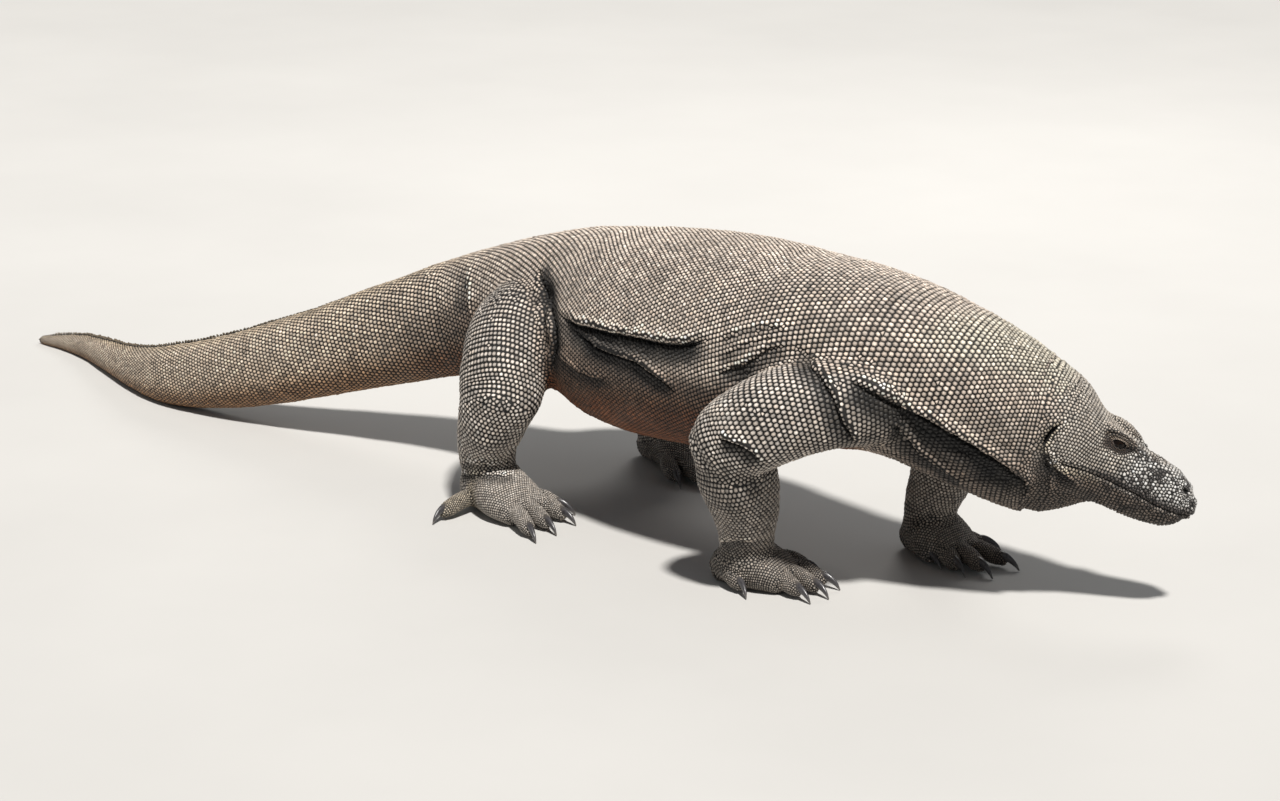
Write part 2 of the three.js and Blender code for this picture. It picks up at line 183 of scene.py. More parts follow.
def eye_spot(side):
    """An eye's centre in the head's frame. Side is -1 on the right, 1 on the left."""
    return EYE_SPOT * [1, side, 1]


def smooth(x):
    x = np.clip(x, 0, 1)
    return x * x * (3 - 2 * x)


def bump(x):
    return np.exp(-x * x)


# ---- tubes: a centre line with superellipse sections ----
def catmull(rows, per_span):
    """A smooth curve through rows, with per_span stations between two of them."""
    rows = np.asarray(rows, float)
    ext = np.vstack([2 * rows[0] - rows[1], rows, 2 * rows[-1] - rows[-2]])
    out = []
    for i in range(len(rows) - 1):
        a, b, c, d = ext[i:i + 4]
        for t in np.arange(per_span) / per_span:
            square, cube = 2 * a - 5 * b + 4 * c - d, 3 * b - a - 3 * c + d
            out.append(0.5 * (2 * b + (c - a) * t + square * t * t + cube * t**3))
    out.append(rows[-1])
    return np.array(out)


class Tube:
    def __init__(self, rows, up=Z_UP, power=2.3, blend=6.0, per_span=8, ends=0.6, name=""):
        fine = catmull(rows, per_span)
        self.c = fine[:, :3]
        self.size = np.maximum(fine[:, 3:6], 0.5)
        t = unit(np.gradient(self.c, axis=0))
        s = unit(np.cross(np.asarray(up, float), t))
        self.t, self.s, self.u = t, s, np.cross(t, s)
        self.power, self.blend, self.ends, self.name = power, blend, ends, name
        step = np.linalg.norm(np.diff(self.c, axis=0), axis=1)
        self.arc = np.concatenate([[0], np.cumsum(step)])
        pad = self.size.max() + 30
        self.low, self.high = self.c.min(0) - pad, self.c.max(0) + pad

    def local(self, p):
        """Fractional station and the section coordinates of points."""
        c = self.c
        near = np.empty(len(p), int)
        for k in range(0, len(p), 60000):
            q = p[k:k + 60000].astype(f32)
            near[k:k + 60000] = np.argmin((c * c).sum(1).astype(f32) - 2 * q @ c.T.astype(f32), axis=1)
        back = np.clip(near - 1, 0, len(c) - 2)
        fore = np.clip(near, 0, len(c) - 2)

        def along(i):
            d = c[i + 1] - c[i]
            t = np.clip(((p - c[i]) * d).sum(1) / (d * d).sum(1), 0, 1)
            off = p - c[i] - d * t[:, None]
            return t, (off * off).sum(1)

        tb, db = along(back)
        tf, df = along(fore)
        first = db < df
        i = np.where(first, back, fore)
        t = np.where(first, tb, tf)[:, None]
        mix = lambda a: a[i] * (1 - t) + a[i + 1] * t
        q = p - mix(c)
        return i + t[:, 0], q, mix(self.t), mix(self.s), mix(self.u), mix(self.size)

    def field(self, p):
        """Rough signed distance, negative inside."""
        _, q, t, s, u, size = self.local(p)
        a, b, e = (q * s).sum(1), (q * u).sum(1), (q * t).sum(1)
        h = np.where(b >= 0, size[:, 1], size[:, 2])
        n = self.power
        rho = (np.abs(a / size[:, 0])**n + np.abs(b / h)**n)**(1 / n)
        cap = self.ends * np.minimum(size[:, 0], h)
        rho = np.sqrt(rho * rho + (e / cap)**2)
        r = np.linalg.norm(q, axis=1)
        return np.where(rho < 1e-3, -size.min(1), r * (1 - 1 / np.maximum(rho, 1e-3)))

    def surface(self, station, angle):
        """Points on the tube at fractional stations and angles."""
        i = np.clip(station.astype(int), 0, len(self.c) - 2)
        t = (station - i)[:, None]
        mix = lambda a: a[i] * (1 - t) + a[i + 1] * t
        size = mix(self.size)
        c, s = np.cos(angle), np.sin(angle)
        h = np.where(s >= 0, size[:, 1], size[:, 2])
        r = (np.abs(c / size[:, 0])**self.power + np.abs(s / h)**self.power)**(-1 / self.power)
        side, up = mix(self.s), mix(self.u)
        return mix(self.c) + (r * c)[:, None] * side + (r * s)[:, None] * up, mix(self.t)


def toe_rows(toe):
    """Rows of a toe's tube, from its points in x and y."""
    root, knuckle, last = (np.array(v, float) for v in toe[:3])
    ahead = unit(last - knuckle)
    spots = [root, knuckle, last, last + ahead * TOE_END_AHEAD]
    return [[*p, TOE_HEIGHT[i], TOE_RADIUS[i], TOE_RADIUS[i], TOE_RADIUS[i]] for i, p in enumerate(spots)]


def claw_rows(toe):
    """Rows of a claw's tube, bent sideways by the toe's last number."""
    knuckle, last = np.array(toe[1], float), np.array(toe[2], float)
    ahead = unit(last - knuckle)
    aside = np.array([-ahead[1], ahead[0]])
    rows = []
    for share, height, radius in CLAW_SHAPE:
        spot = last + ahead * (TOE_END_AHEAD * 0.5 + share * CLAW_LENGTH)
        spot = spot + aside * toe[3] * share * share * CLAW_LENGTH * 0.5
        rows.append([*spot, height, radius * 0.72, radius, radius])
    return rows


spine = Tube(TAIL + TRUNK + NECK, blend=20, per_span=8, name="spine")
skull_rows = [[*from_head([a, 0, w]), *size] for a, w, *size in SKULL]
skull = Tube(skull_rows, up=HEAD_UP, power=2.4, blend=16, ends=0.75, name="skull")
tubes = [spine, skull]
for side in (-1, 1):
    rows = [[*from_head([a, side * l, w]), *size] for a, l, w, *size in BROW]
    tubes.append(Tube(rows, up=HEAD_UP, blend=7, name="brow"))
for leg_name, leg in LEGS.items():
    fore = leg_name.startswith("fore")
    tubes.append(Tube(leg["upper"], up=leg["upper_up"], blend=14 if fore else 22, name=leg_name + "_upper"))
    tubes.append(Tube(leg["lower"], up=(1, 0, 0), blend=8 if fore else 16, name=leg_name + "_lower"))
    tubes.append(Tube(leg["palm"], blend=10, name=leg_name + "_palm"))
    tubes += [Tube(toe_rows(toe), blend=5, ends=0.9, name=leg_name + "_toe") for toe in leg["toes"]]


# ---- the skin's field ----
def smooth_min(a, b, k):
    h = np.maximum(k - np.abs(a - b), 0) / k
    return np.minimum(a, b) - h * h * k * 0.25


def coat_depth(p):
    """How far the skin lies inside the CAD flesh, mm."""
    ahead = to_head(p)[:, 0]
    head = smooth((ahead + 20) / 60)
    foot = smooth((70 - p[:, 2]) / 40) * (p[:, 0] > -120)
    tail = smooth((-300 - p[:, 0]) / 500)
    return 1.7 - 0.9 * head - 0.9 * foot - 0.5 * tail


def base_field(p):
    f = np.full(len(p), 60.0)
    for tube in tubes:
        inside = np.all((p > tube.low) & (p < tube.high), axis=1)
        if inside.any():
            f[inside] = smooth_min(f[inside], tube.field(p[inside]), tube.blend)
    f += coat_depth(p)
    for side in (-1, 1):
        ball = np.linalg.norm(p - from_head(eye_spot(side)), axis=1) - (EYE_RADIUS + 1.3)
        f = smooth_min(f, ball, 5.0)
    return np.maximum(f, 0.7 - p[:, 2])


# ---- seeded value noise, -1 to 1 ----
CELLS = 64
LATTICE = rng.random((CELLS, CELLS, CELLS)) * 2 - 1


def noise(p, size, seed=0):
    """Smooth noise of one value for each point, with features of about this size, mm."""
    q = p / size + 400.0 + 17.31 * seed
    i = np.floor(q).astype(int)
    f = smooth(q - i)
    out = np.zeros(len(p))
    for corner in range(8):
        step = np.array([corner & 1, corner >> 1 & 1, corner >> 2])
        w = np.prod(np.where(step, f, 1 - f), axis=1)
        k = (i + step) % CELLS
        out += w * LATTICE[k[:, 0], k[:, 1], k[:, 2]]
    return out


# ---- folds of loose skin ----
# Rise of the lip, depth under it, width, way the lip faces, what the left side repeats, points on the right.
# It repeats all of a fold (True), none (False), a number of its first points, or all in the head's frame.
FOLDS = [
    (4.6, 9.5, 9, Z_UP, True, [
        [107, -136, 312], [165, -150, 307], [235, -155, 311], [321, -155, 317], [377, -152, 320],
        [416, -146, 330], [451, -137, 345]]),
    (5.5, 7.0, 7, Z_UP, True, [
        [150, -148, 303], [200, -156, 290], [239, -158, 284], [301, -159, 284], [337, -158, 276],
        [368, -155, 266], [399, -150, 253]]),
    (4.5, 8.0, 8, (-1, 0, 0), True, [
        [50, -112, 340], [80, -128, 313], [104, -140, 283], [101, -140, 245], [86, -134, 210]]),
    (3.4, 6.0, 7, (-1, 0, 0), True, [
        [10, -95, 352], [39, -111, 332], [64, -127, 303], [75, -135, 270]]),
    (3.0, 6.0, 7, (0.9, 0, 0.4), True, [
        [570, -104, 351], [600, -103, 345], [622, -113, 334], [652, -118, 322], [673, -117, 299],
        [681, -112, 275], [684, -94, 248], [676, -70, 215]]),
    (2.5, 4.6, 6, Z_UP, True, [
        [455, -141, 292], [498, -133, 311], [524, -124, 328], [542, -115, 343], [570, -104, 351]]),
    (1.6, 2.6, 4.5, Z_UP, True, [
        [452, -139, 333], [477, -129, 350], [507, -116, 364], [540, -105, 370], [576, -98, 361]]),
    (1.4, 2.2, 4, Z_UP, True, [
        [462, -141, 318], [487, -131, 333], [514, -121, 347], [541, -110, 357], [573, -101, 356]]),
    (4.2, 6.5, 7, Z_UP, False, [
        [547, -213, 239], [565, -208, 237], [584, -199, 233], [596, -188, 221], [597, -169, 204]]),
    (6.5, 9.5, 10, Z_UP, 5, [
        [672, -95, 326], [685, -85, 318], [716, -56, 297], [743, -18, 272], [778, 11, 248],
        [811, 47, 216], [829, 71, 194], [838, 92, 176]]),
    (4.0, 5.5, 7, Z_UP, False, [
        [708, -55, 266], [716, -42, 257], [719, -20, 230], [728, -5, 213], [744, 15, 195],
        [755, 37, 175], [772, 65, 155]]),
    (2.4, 3.5, 5, (1, 0, 0), False, [
        [853, 92, 227], [852, 103, 204], [843, 118, 177], [834, 130, 158]]),
    (1.8, 3.0, 5, (1, 0, 0), False, [
        [831, 67, 217], [834, 76, 194], [829, 83, 173], [812, 87, 151]]),
    (2.8, 4.2, 5, (1, 0, 0.3), False, [
        [853, 89, 240], [856, 98, 224], [859, 112, 205], [867, 132, 190], [868, 148, 169]]),
    (2.6, 4.0, 5, Z_UP, True, [
        [-25, -218, 50], [-11, -214, 54], [22, -209, 60], [44, -193, 60], [50, -164, 57]]),
    (2.0, 2.6, 4.5, Z_UP, True, [
        [-22, -218, 72], [-2, -217, 75], [25, -207, 77], [34, -182, 74]]),
    (1.0, 1.5, 6, Z_UP, True, [
        [20, -237, 163], [54, -235, 182], [74, -217, 189], [85, -193, 187]]),
    (2.4, 3.6, 5, Z_UP, False, [
        [466, -144, 53], [507, -156, 72], [533, -154, 80], [539, -135, 72]]),
    (2.0, 3.0, 3.5, (1, 0, 0.2), "head", [
        [862, 100, 266], [858, 94, 255], [854, 90, 241], [852, 92, 224], [856, 102, 211],
        [863, 120, 197], [872, 136, 187]]),
    (3.2, 4.0, 5, Z_UP, True, [
        [116, -144, 254], [147, -150, 246], [184, -154, 240], [223, -157, 240], [261, -159, 252]]),
    (2.5, 4.0, 8, (1, 0, 0), True, [
        [-179, -77, 321], [-153, -101, 286], [-142, -106, 243]]),
]
# Hollows: depth, radius, centre, on both sides.
POCKETS = [
    (3.5, 16, [482, -137, 312]),
    (3, 22, [505, -128, 296]),
    (11, 19, [58, -118, 322]),
    (5, 20, [100, -140, 262]),
    (4, 26, [700, -50, 262]),
    (5, 24, [735, -5, 232]),
    (4, 20, [790, 50, 190]),
]


def mirrored(points):
    """The same points on the other side of the spine."""
    p = np.array(points, float)
    p[:, 1] = 2 * np.interp(p[:, 0], spine.c[:, 0], spine.c[:, 1]) - p[:, 1]
    return p


def fold_lines():
    out = []
    for rise, depth, width, high, both, points in FOLDS:
        p = np.array(points, float)
        out.append((rise, depth, width, np.array(high, float), catmull(p, 4)))
        if both:
            if both == "head":
                other = from_head(to_head(p) * [1, -1, 1])
            else:
                other = mirrored(p if both is True else p[:both])
            out.append((rise, depth, width, np.array(high, float), catmull(settle(other, 2, 20)[0], 4)))
    return out


def near_line(p, line, reach):
    return np.all((p > line.min(0) - reach) & (p < line.max(0) + reach), axis=1)


def off_line(p, line, high):
    """Signed distance of points from a line, and how far along it they are, 0 to 1."""
    best = np.full(len(p), 1e9)
    sign, share = np.ones(len(p)), np.zeros(len(p))
    for i in range(len(line) - 1):
        a, d = line[i], line[i + 1] - line[i]
        t = np.clip(((p - a) @ d) / (d @ d), 0, 1)
        off = p - a - t[:, None] * d
        r = np.linalg.norm(off, axis=1)
        near = r < best
        side = high - d * (high @ d) / (d @ d)
        best[near] = r[near]
        sign[near] = np.where(off[near] @ side >= 0, 1, -1)
        share[near] = (i + t[near]) / (len(line) - 1)
    return best * sign, share


# ---- meshing: a narrow band of cells, then finer faces where the form is fine ----
CELL = 7.2
ROOM_START, ROOM_SIZE = np.array([-1275.0, -345.0, -20.0]), np.array([2300.0, 700.0, 480.0])
LONGEST = {1: 5.2, 2: 2.7, 3: 1.35}  # edges longer than this are halved, by level, mm


def narrow_band():
    """The field on a grid, worked out in full near the skin only, and the grid's corner."""
    start = ROOM_START
    blocks = np.ceil(ROOM_SIZE / (4 * CELL)).astype(int)
    half = 2 * CELL
    middles = [start[k] + half * (2 * np.arange(blocks[k]) + 1) for k in range(3)]
    centres = np.stack(np.meshgrid(*middles, indexing="ij"), -1)
    rough = base_field(centres.reshape(-1, 3)).reshape(blocks)
    values = np.repeat(np.repeat(np.repeat(np.clip(rough, -30, 30), 4, 0), 4, 1), 4, 2)
    near = np.argwhere(np.abs(rough) < 6.6 * CELL)
    inner = np.stack(np.meshgrid(*[np.arange(4)] * 3, indexing="ij"), -1).reshape(-1, 3)
    index = (near[:, None, :] * 4 + inner[None]).reshape(-1, 3)
    spots = start + CELL * (index + 0.5)
    values[index[:, 0], index[:, 1], index[:, 2]] = np.concatenate(
        [base_field(part) for part in np.array_split(spots, max(1, len(spots) // 200000))])
    return values.astype(f32), start


def settle(p, rounds=1, limit=2.5):
    """Moves points onto the skin and gives its outward direction there."""
    eps = 0.4
    for k in range(rounds + 1):
        f = base_field(p)
        g = np.stack([base_field(p + eps * axis) - f for axis in np.eye(3)], 1) / eps
        size = np.maximum(np.linalg.norm(g, axis=1), 0.3)
        if k < rounds:
            p = p - (np.clip(f / size, -limit, limit) / size)[:, None] * g
    return p, unit(g)


def detail_level(p):
    """How many times the first faces are halved."""
    h = to_head(p)
    level = np.zeros(len(p), int)
    level[(h[:, 0] > -25) & (np.abs(h[:, 1]) < 90)] = 1
    level[(p[:, 2] < 62) & (p[:, 0] > -80)] = 1
    for _, depth, width, high, line in folds:
        box = near_line(p, line, 22)
        if box.any():
            d = np.abs(off_line(p[box], line, high)[0])
            wanted = (d < 1.8 * width) * 1 + ((d < 0.8 * width) & (depth > 4.5)) * 1
            level[box] = np.maximum(level[box], wanted)
    level[(h[:, 0] > 14) & (np.abs(h[:, 2] - np.interp(h[:, 0], *LIP_LINE.T)) < 7)] = 2
    for side in (-1, 1):
        eye = np.linalg.norm(h - eye_spot(side), axis=1)
        level[eye < 22] = 2
        level[eye < 15] = 3
        level[np.linalg.norm(h - NOSTRIL_SPOT * [1, side, 1], axis=1) < 13] = 3
        level[(np.abs(h[:, 0]) < 12) & (np.abs(h[:, 2]) < 24) & (h[:, 1] * side > 30)] = 2
    return level


def turned(t, k, first):
    """Triangles and their edges' new points, started from the given corner."""
    turn = (first[:, None] + np.arange(3)) % 3
    return np.take_along_axis(t, turn, 1), np.take_along_axis(k, turn, 1)


def columns(*faces):
    return [np.stack(face, 1) for face in faces]


def refine(p, tri, level):
    """Halves the long edges where more detail is wanted. Neighbours share each new point."""
    edge = np.sort(np.concatenate([tri[:, [0, 1]], tri[:, [1, 2]], tri[:, [2, 0]]]), axis=1)
    key, back = np.unique(edge[:, 0] * len(p) + edge[:, 1], return_inverse=True)
    a, b = key // len(p), key % len(p)
    split = np.linalg.norm(p[a] - p[b], axis=1) > LONGEST[level]
    split[split] = detail_level((p[a[split]] + p[b[split]]) / 2) >= level
    new = np.full(len(key), -1)
    new[split] = len(p) + np.arange(split.sum())
    added, _ = settle((p[a[split]] + p[b[split]]) / 2)
    m = new[back.reshape(-1)].reshape(3, -1).T
    count = (m >= 0).sum(1)
    out = [tri[count == 0]]
    t, k = tri[count == 3], m[count == 3]
    (t0, t1, t2), (k0, k1, k2) = t.T, k.T
    out += columns((t0, k0, k2), (k0, t1, k1), (k2, k1, t2), (k0, k1, k2))
    t, k = tri[count == 1], m[count == 1]
    t, k = turned(t, k, np.argmax(k >= 0, axis=1))
    (t0, t1, t2), k0 = t.T, k[:, 0]
    out += columns((t0, k0, t2), (k0, t1, t2))
    t, k = tri[count == 2], m[count == 2]
    t, k = turned(t, k, np.argmin(k, axis=1) + 1)
    (t0, t1, t2), (k0, k1, _) = t.T, k.T
    out += columns((t1, k1, k0), (t0, k0, k1), (t0, k1, t2))
    return np.vstack([p, added]), np.vstack(out)


def build_skin():
    """The plain skin's points and triangles, without relief."""
    values, start = narrow_band()
    grid = openvdb.FloatGrid(30.0)
    grid.copyFromArray(values)
    points, quads = grid.convertToQuads(isovalue=0.0)
    p = np.asarray(points, float) * CELL + start + CELL * 0.5
    quads = np.asarray(quads).astype(int)
    p, _ = settle(p)
    tri = np.vstack([quads[:, [0, 1, 2]], quads[:, [0, 2, 3]]])
    for level in (1, 2, 3):
        p, tri = refine(p, tri, level)
    return p, tri


# ---- relief: folds, wrinkles, mouth, nostrils and ears, along the skin's outward direction ----
def eye_coords(h, side):
    """Across, up and out of the eye, in the head's frame, mm."""
    out = unit(np.array([0.20, side, 0.20]))
    across = unit(np.array([1.0, -side * 0.20, -0.10]))
    up = np.cross(across, out) * -side
    q = h - eye_spot(side)
    return q @ across, q @ up, q @ out, (across, up, out)


def at_axes(x, y, z, axes):
    return x[:, None] * axes[0] + y[:, None] * axes[1] + z[:, None] * axes[2]


def eye_opening(x, y):
    """1 at the middle of the lids' opening, 0 on its edge, negative outside, in shares of its width."""
    tall = np.where(y > 0, 4.9, 5.3)
    return 1 - np.sqrt((x / 9.2)**2 + ((y + 0.02 * x * x * 0.4) / tall)**2)


def nostril_oval(h, side):
    """Under 1 inside the nostril of one side."""
    du, dw = h[:, 0] - NOSTRIL_SPOT[0], h[:, 2] - NOSTRIL_SPOT[2]
    long, wide = du * 0.9 - dw * 0.44, du * 0.44 + dw * 0.9
    return np.sqrt((long / 4.8)**2 + (wide / 2.9)**2) + 9 * (h[:, 1] * side < 5)


def ear_oval(h, side):
    """Under 1 inside the ear opening of one side, a bent slit."""
    long, wide = h[:, 0] * 0.16 + h[:, 2] * 0.987, h[:, 0] * 0.987 - h[:, 2] * 0.16
    bent = (wide - 0.012 * long * long) / 4.0
    return np.sqrt((long / 19.0)**2 + bent**2) + 9 * (h[:, 1] * side < 35)


def lip_height(h):
    return h[:, 2] - np.interp(h[:, 0], *LIP_LINE.T)


def add_folds(d, p):
    for rise, depth, width, high, line in folds:
        box = near_line(p, line, 4 * width)
        if not box.any():
            continue
        q = p[box]
        s, share = off_line(q, line, high)
        s = s + 1.2 * noise(q, 13, 3)
        taper = smooth(np.minimum(share, 1 - share) * 4.5) * (1 + 0.3 * noise(q, 16, 4))
        lip = rise * bump((s - 0.75 * width) / (0.8 * width))
        lip = lip - depth * bump((s + 0.15 * width) / (0.42 * width))
        d[box] += taper * (lip - 0.42 * depth * bump((s + 1.3 * width) / (1.2 * width)))
    for depth, radius, centre in POCKETS:
        for q in (np.array(centre, float), mirrored([centre])[0]):
            d -= depth * bump(np.linalg.norm(p - q, axis=1) / radius)


def add_wrinkles(d, p, n, h, body):
    """Slanting wrinkles on the throat, rings round the neck and rings at the legs' joints."""
    x, y, z = p.T
    loose = smooth((x - 600) / 90) * smooth((285 - z) / 40) * body * (n[:, 2] < 0.6)
    slant = np.stack([p @ unit(np.array([0.75, 0.5, -0.42])) / 5.0, y - x * 0.5, z + x * 0.4], 1)
    d += loose * 2.4 * noise(slant, 13, 5)
    neck = smooth((x - 590) / 60) * body
    rings = np.stack([p @ unit(np.array([0.8, 0.5, -0.3])), y / 5, z / 5], 1)
    d += neck * 0.7 * noise(rings, 16, 6)
    limb = smooth((spine.field(p) - 8) / 20) * (h[:, 0] < -20) * smooth((z - 20) / 20)
    joint = bump((z - 60) / 32) + bump((z - 190) / 45) * 0.6
    d += limb * joint * 1.7 * noise(np.stack([x / 4, y / 4, z], 1), 10, 7)


def add_mouth(d, h):
    """The line of the mouth between two lips, a groove under the chin and the mouth's corner."""
    mouth = smooth((h[:, 0] - 24) / 12)
    dw = lip_height(h)
    front = mouth * ((np.abs(h[:, 1]) > 7) | (h[:, 0] > 195))
    d += front * (-2.3 * bump(dw / 1.5) + 1.0 * bump((dw - 4.5) / 3.0) + 0.6 * bump((dw + 4.6) / 3.2))
    d += mouth * smooth((-58 - h[:, 2]) / 10) * -0.6 * bump(h[:, 1] / 6)
    corner = np.linalg.norm((h - [26, 0, -33])[:, [0, 2]], axis=1)
    d += (np.abs(h[:, 1]) > 25) * (0.9 * bump((corner - 9) / 3.5) - 1.2 * bump((corner - 4.5) / 2.0))


def add_openings(d, h, side):
    """Nostril, ear opening, cheek and the folds round the eye, on one side."""
    e = nostril_oval(h, side)
    d += -3.6 * smooth((1.02 - e) / 0.55) + 0.9 * bump((e - 1.4) / 0.35)
    e = ear_oval(h, side)
    d += -7.5 * smooth((1.05 - e) / 0.6) + 1.3 * bump((e - 1.5) / 0.4)
    d += 1.2 * bump((np.linalg.norm(h - [26, side * 60, -2], axis=1)) / 24)
    x, y, z, _ = eye_coords(h, side)
    o = eye_opening(x, y)
    near = (z > 0) & (x * x + y * y + z * z < 27**2)
    below = -1.5 * bump((o + 0.55) / 0.13) + 1.0 * bump((o + 0.82) / 0.17)
    below = below - 2.4 * bump((o + 1.2) / 0.2) + 1.1 * bump((o + 1.55) / 0.22)
    above = -1.4 * bump((o + 0.5) / 0.13) + 0.8 * bump((o + 0.85) / 0.2)
    rounds = below * (y < 1.5) + above * (y >= 1.5)
    streak = bump((y - 2.5 + 0.18 * x) / 2.2) * smooth((x - 9) / 4) * smooth((30 - x) / 8)
    shown = (z > -12) * (h[:, 1] * side > 8)
    d += np.where(near, rounds + 0.3 * bump((o + 0.2) / 0.2), 0) - 0.9 * streak * shown


def relief(p, n):
    """Rise of the skin over its plain form, mm."""
    d = 1.3 * noise(p, 75, 1) + 0.55 * noise(p, 24, 2)
    h = to_head(p)
    body = smooth((-5 - h[:, 0]) / 30)
    d *= 0.35 + 0.65 * body
    d *= smooth((p[:, 2] - 4) / 10)
    add_folds(d, p)
    add_wrinkles(d, p, n, h, body)
    add_mouth(d, h)
    for side in (-1, 1):
        add_openings(d, h, side)
    return d


def shape_lids(p):
    """Brings the skin to the eyeball: lid edges that stand on it, and a pocket that turns in under it."""
    h = to_head(p)
    rim = EYE_RADIUS + 1.15
    for side in (-1, 1):
        x, y, z, axes = eye_coords(h, side)
        near = (z > 0) & (x * x + y * y + z * z < 22**2)
        o = eye_opening(x, y)
        edge = near & (np.abs(o) < 0.075)
        pull = np.where(edge, 1 / (1 - o), 1.0)
        x, y = x * pull, y * pull
        o = np.where(edge, 0.0, o)
        r = np.sqrt(x * x + y * y + z * z)
        want = np.where(o > 0.02, EYE_RADIUS - 1.6, rim + (r - rim) * smooth((-o - 0.02) / 0.55))
        want = np.where((o <= 0.02) & (o > -0.3), np.maximum(want, rim - 0.25), want)
        flat = np.maximum(want**2 - x * x - y * y, 1.0)
        z = np.where(near & (o > -0.6), np.sqrt(flat), z)
        moved = eye_spot(side) + at_axes(x, y, z, axes)
        h = np.where((near & (o > -0.6))[:, None], moved, h)
    return EAR_CENTRE + h @ HEAD_AXES


# ---- colours, as sRGB shares: the same markings, with painted shade and painted highlights, on skin and coat ----
def rgb(*c):
    return np.array(c) / 255.0


def mix(a, b, t):
    t = np.asarray(t)[:, None]
    return a * (1 - t) + b * t


def linear(c):
    c = np.clip(c, 0, 1)
    return np.where(c < 0.04045, c / 12.92, ((c + 0.055) / 1.055)**2.4)


def fold_painted_light(p):
    """Painted highlights along the lips of the folds, painted shade in and below their hollows."""
    tone = np.ones(len(p))
    for _, depth, width, high, line in folds:
        box = near_line(p, line, 5 * width)
        if not box.any():
            continue
        s, share = off_line(p[box], line, high)
        s = s + 1.2 * noise(p[box], 13, 3)
        taper = smooth(np.minimum(share, 1 - share) * 4.5)
        # painted shade in and under the fold's hollow, deeper for deeper folds
        painted_shade = 0.075 * min(depth, 8.8)
        painted_shade = painted_shade * smooth((0.3 * width - s) / (0.5 * width)) * smooth((s + 4.8 * width) / (3.0 * width))
        # painted highlight along the fold's lip
        painted_highlight = 0.12 if depth > 4.8 else 0.08 * depth
        tone[box] *= 1 - taper * (painted_shade - painted_highlight * bump((s - 0.9 * width) / (0.8 * width)))
    return tone


def body_layers(p, n, u, small):
    """Colours of tail, trunk, legs and neck in the order they are laid on, each with its weight."""
    x, y, z = p.T
    up = n[:, 2]
    off = np.clip(spine.field(p), -5, 60)
    limb = smooth((off - 5) / 22) * (u < -10) * (z < 330)
    tail = smooth((-120 - x) / 260)
    under = smooth((0.1 - up) / 0.7)
    trunk = (1 - limb) * (1 - tail) * smooth((650 - x) / 60)
    # lower flank and belly: their own brown colours, darkened further as painted shade under the body
    flank_low_painted_shade = smooth((0.36 - up) / 0.5) * smooth((296 - z) / 34) * trunk
    belly_with_painted_shade = smooth((-0.05 - up) / 0.5) * trunk
    foot = smooth((88 - z) / 45) * np.maximum(limb, smooth((80 - z) / 20)) * (x > -110)
    # painted shade on the lower fore legs, under the upper arm
    forearm_painted_shade = limb * smooth((x - 420) / 50) * smooth((222 - z) / 60)
    outer_toe = smooth((x + 20) / 40) * bump((x - 5) / 20) * (np.abs(y) > 205)
    nape = smooth((x - 690) / 60) * smooth((up - 0.35) / 0.4) * smooth((20 - u) / 30)
    # lower neck and throat: partly own darker colour, partly painted shade below the neck fold
    neck_low_painted_shade = smooth((x - 620) / 80) * smooth((255 - z) / 60) * (u < 20)
    neck_side = smooth((x - 620) / 60) * smooth((312 - z) / 50) * smooth((20 - u) / 30)
    return [
        (rgb(196, 179, 160) * (1 + 0.05 * small)[:, None], tail),
        (rgb(140, 124, 98), tail * smooth((up - 0.6) / 0.45) * 0.5),
        # lower flank and belly: own brown colours with painted shade
        (rgb(92, 77, 66), flank_low_painted_shade * 0.92),
        (rgb(112, 64, 34) * (1 + 0.14 * small)[:, None], belly_with_painted_shade * 0.9),
        (rgb(138, 98, 64), under * tail * 0.8),
        (rgb(186, 176, 166) * (1 + 0.08 * small)[:, None], limb),
        (rgb(166, 158, 149), foot * 0.8),
        # painted shade on the lower fore legs
        (rgb(124, 115, 106), forearm_painted_shade * 0.6),
        (rgb(150, 136, 112), foot * outer_toe * 0.7),
        (rgb(196, 192, 174), nape * 0.6),
        # lower neck and throat: own colour with painted shade
        (rgb(98, 84, 74), neck_low_painted_shade * 0.85),
        (rgb(128, 118, 108), neck_side * 0.4),
    ]


def head_layers(p, n, h, small):
    """The same for head, snout, crown, lips and jaw."""
    u, w = h[:, 0], h[:, 2]
    lip = lip_height(h)
    head = smooth((u + 14) / 26)
    snout = head * smooth((u - 92) / 34)
    mottle = noise(p, 4.4, 12) + 0.5 * noise(p, 10, 13)
    crown = head * smooth((n[:, 2] - 0.72) / 0.2) * smooth((u - 20) / 40)
    below = head * smooth((np.interp(u, *LIP_LINE.T) - w) / 9)
    patches = below * smooth((noise(p, 9, 14) - 0.1) / 0.4) * smooth((u - 50) / 50)
    # painted shadow as a band along the upper lip
    upper = head * bump((lip - 4) / 5.5) * smooth((u - 50) / 40)
    jaw_pale = head * bump((lip + 7) / 6) * smooth((100 - u) / 40) * smooth(u / 20)
    return [
        (rgb(180, 171, 160) * (1 + 0.08 * small)[:, None], head),
        (rgb(196, 194, 190), snout * smooth((w + 46) / 14) * 0.9),
        (rgb(40, 35, 33), snout * smooth((mottle - 0.12) / 0.3) * 0.75),
        (rgb(176, 164, 150), crown * 0.5),
        (rgb(88, 76, 67), below * 0.85),
        (rgb(40, 32, 28), patches * 0.8),
        # painted shadow along the upper lip
        (rgb(38, 30, 27), upper * 0.75),
        (rgb(172, 160, 140), jaw_pale * 0.6),
        # painted shade in the mouth's groove between the lips
        (rgb(30, 22, 18), head * bump(lip / 1.4) * smooth((u - 26) / 8) * 0.9),
    ]


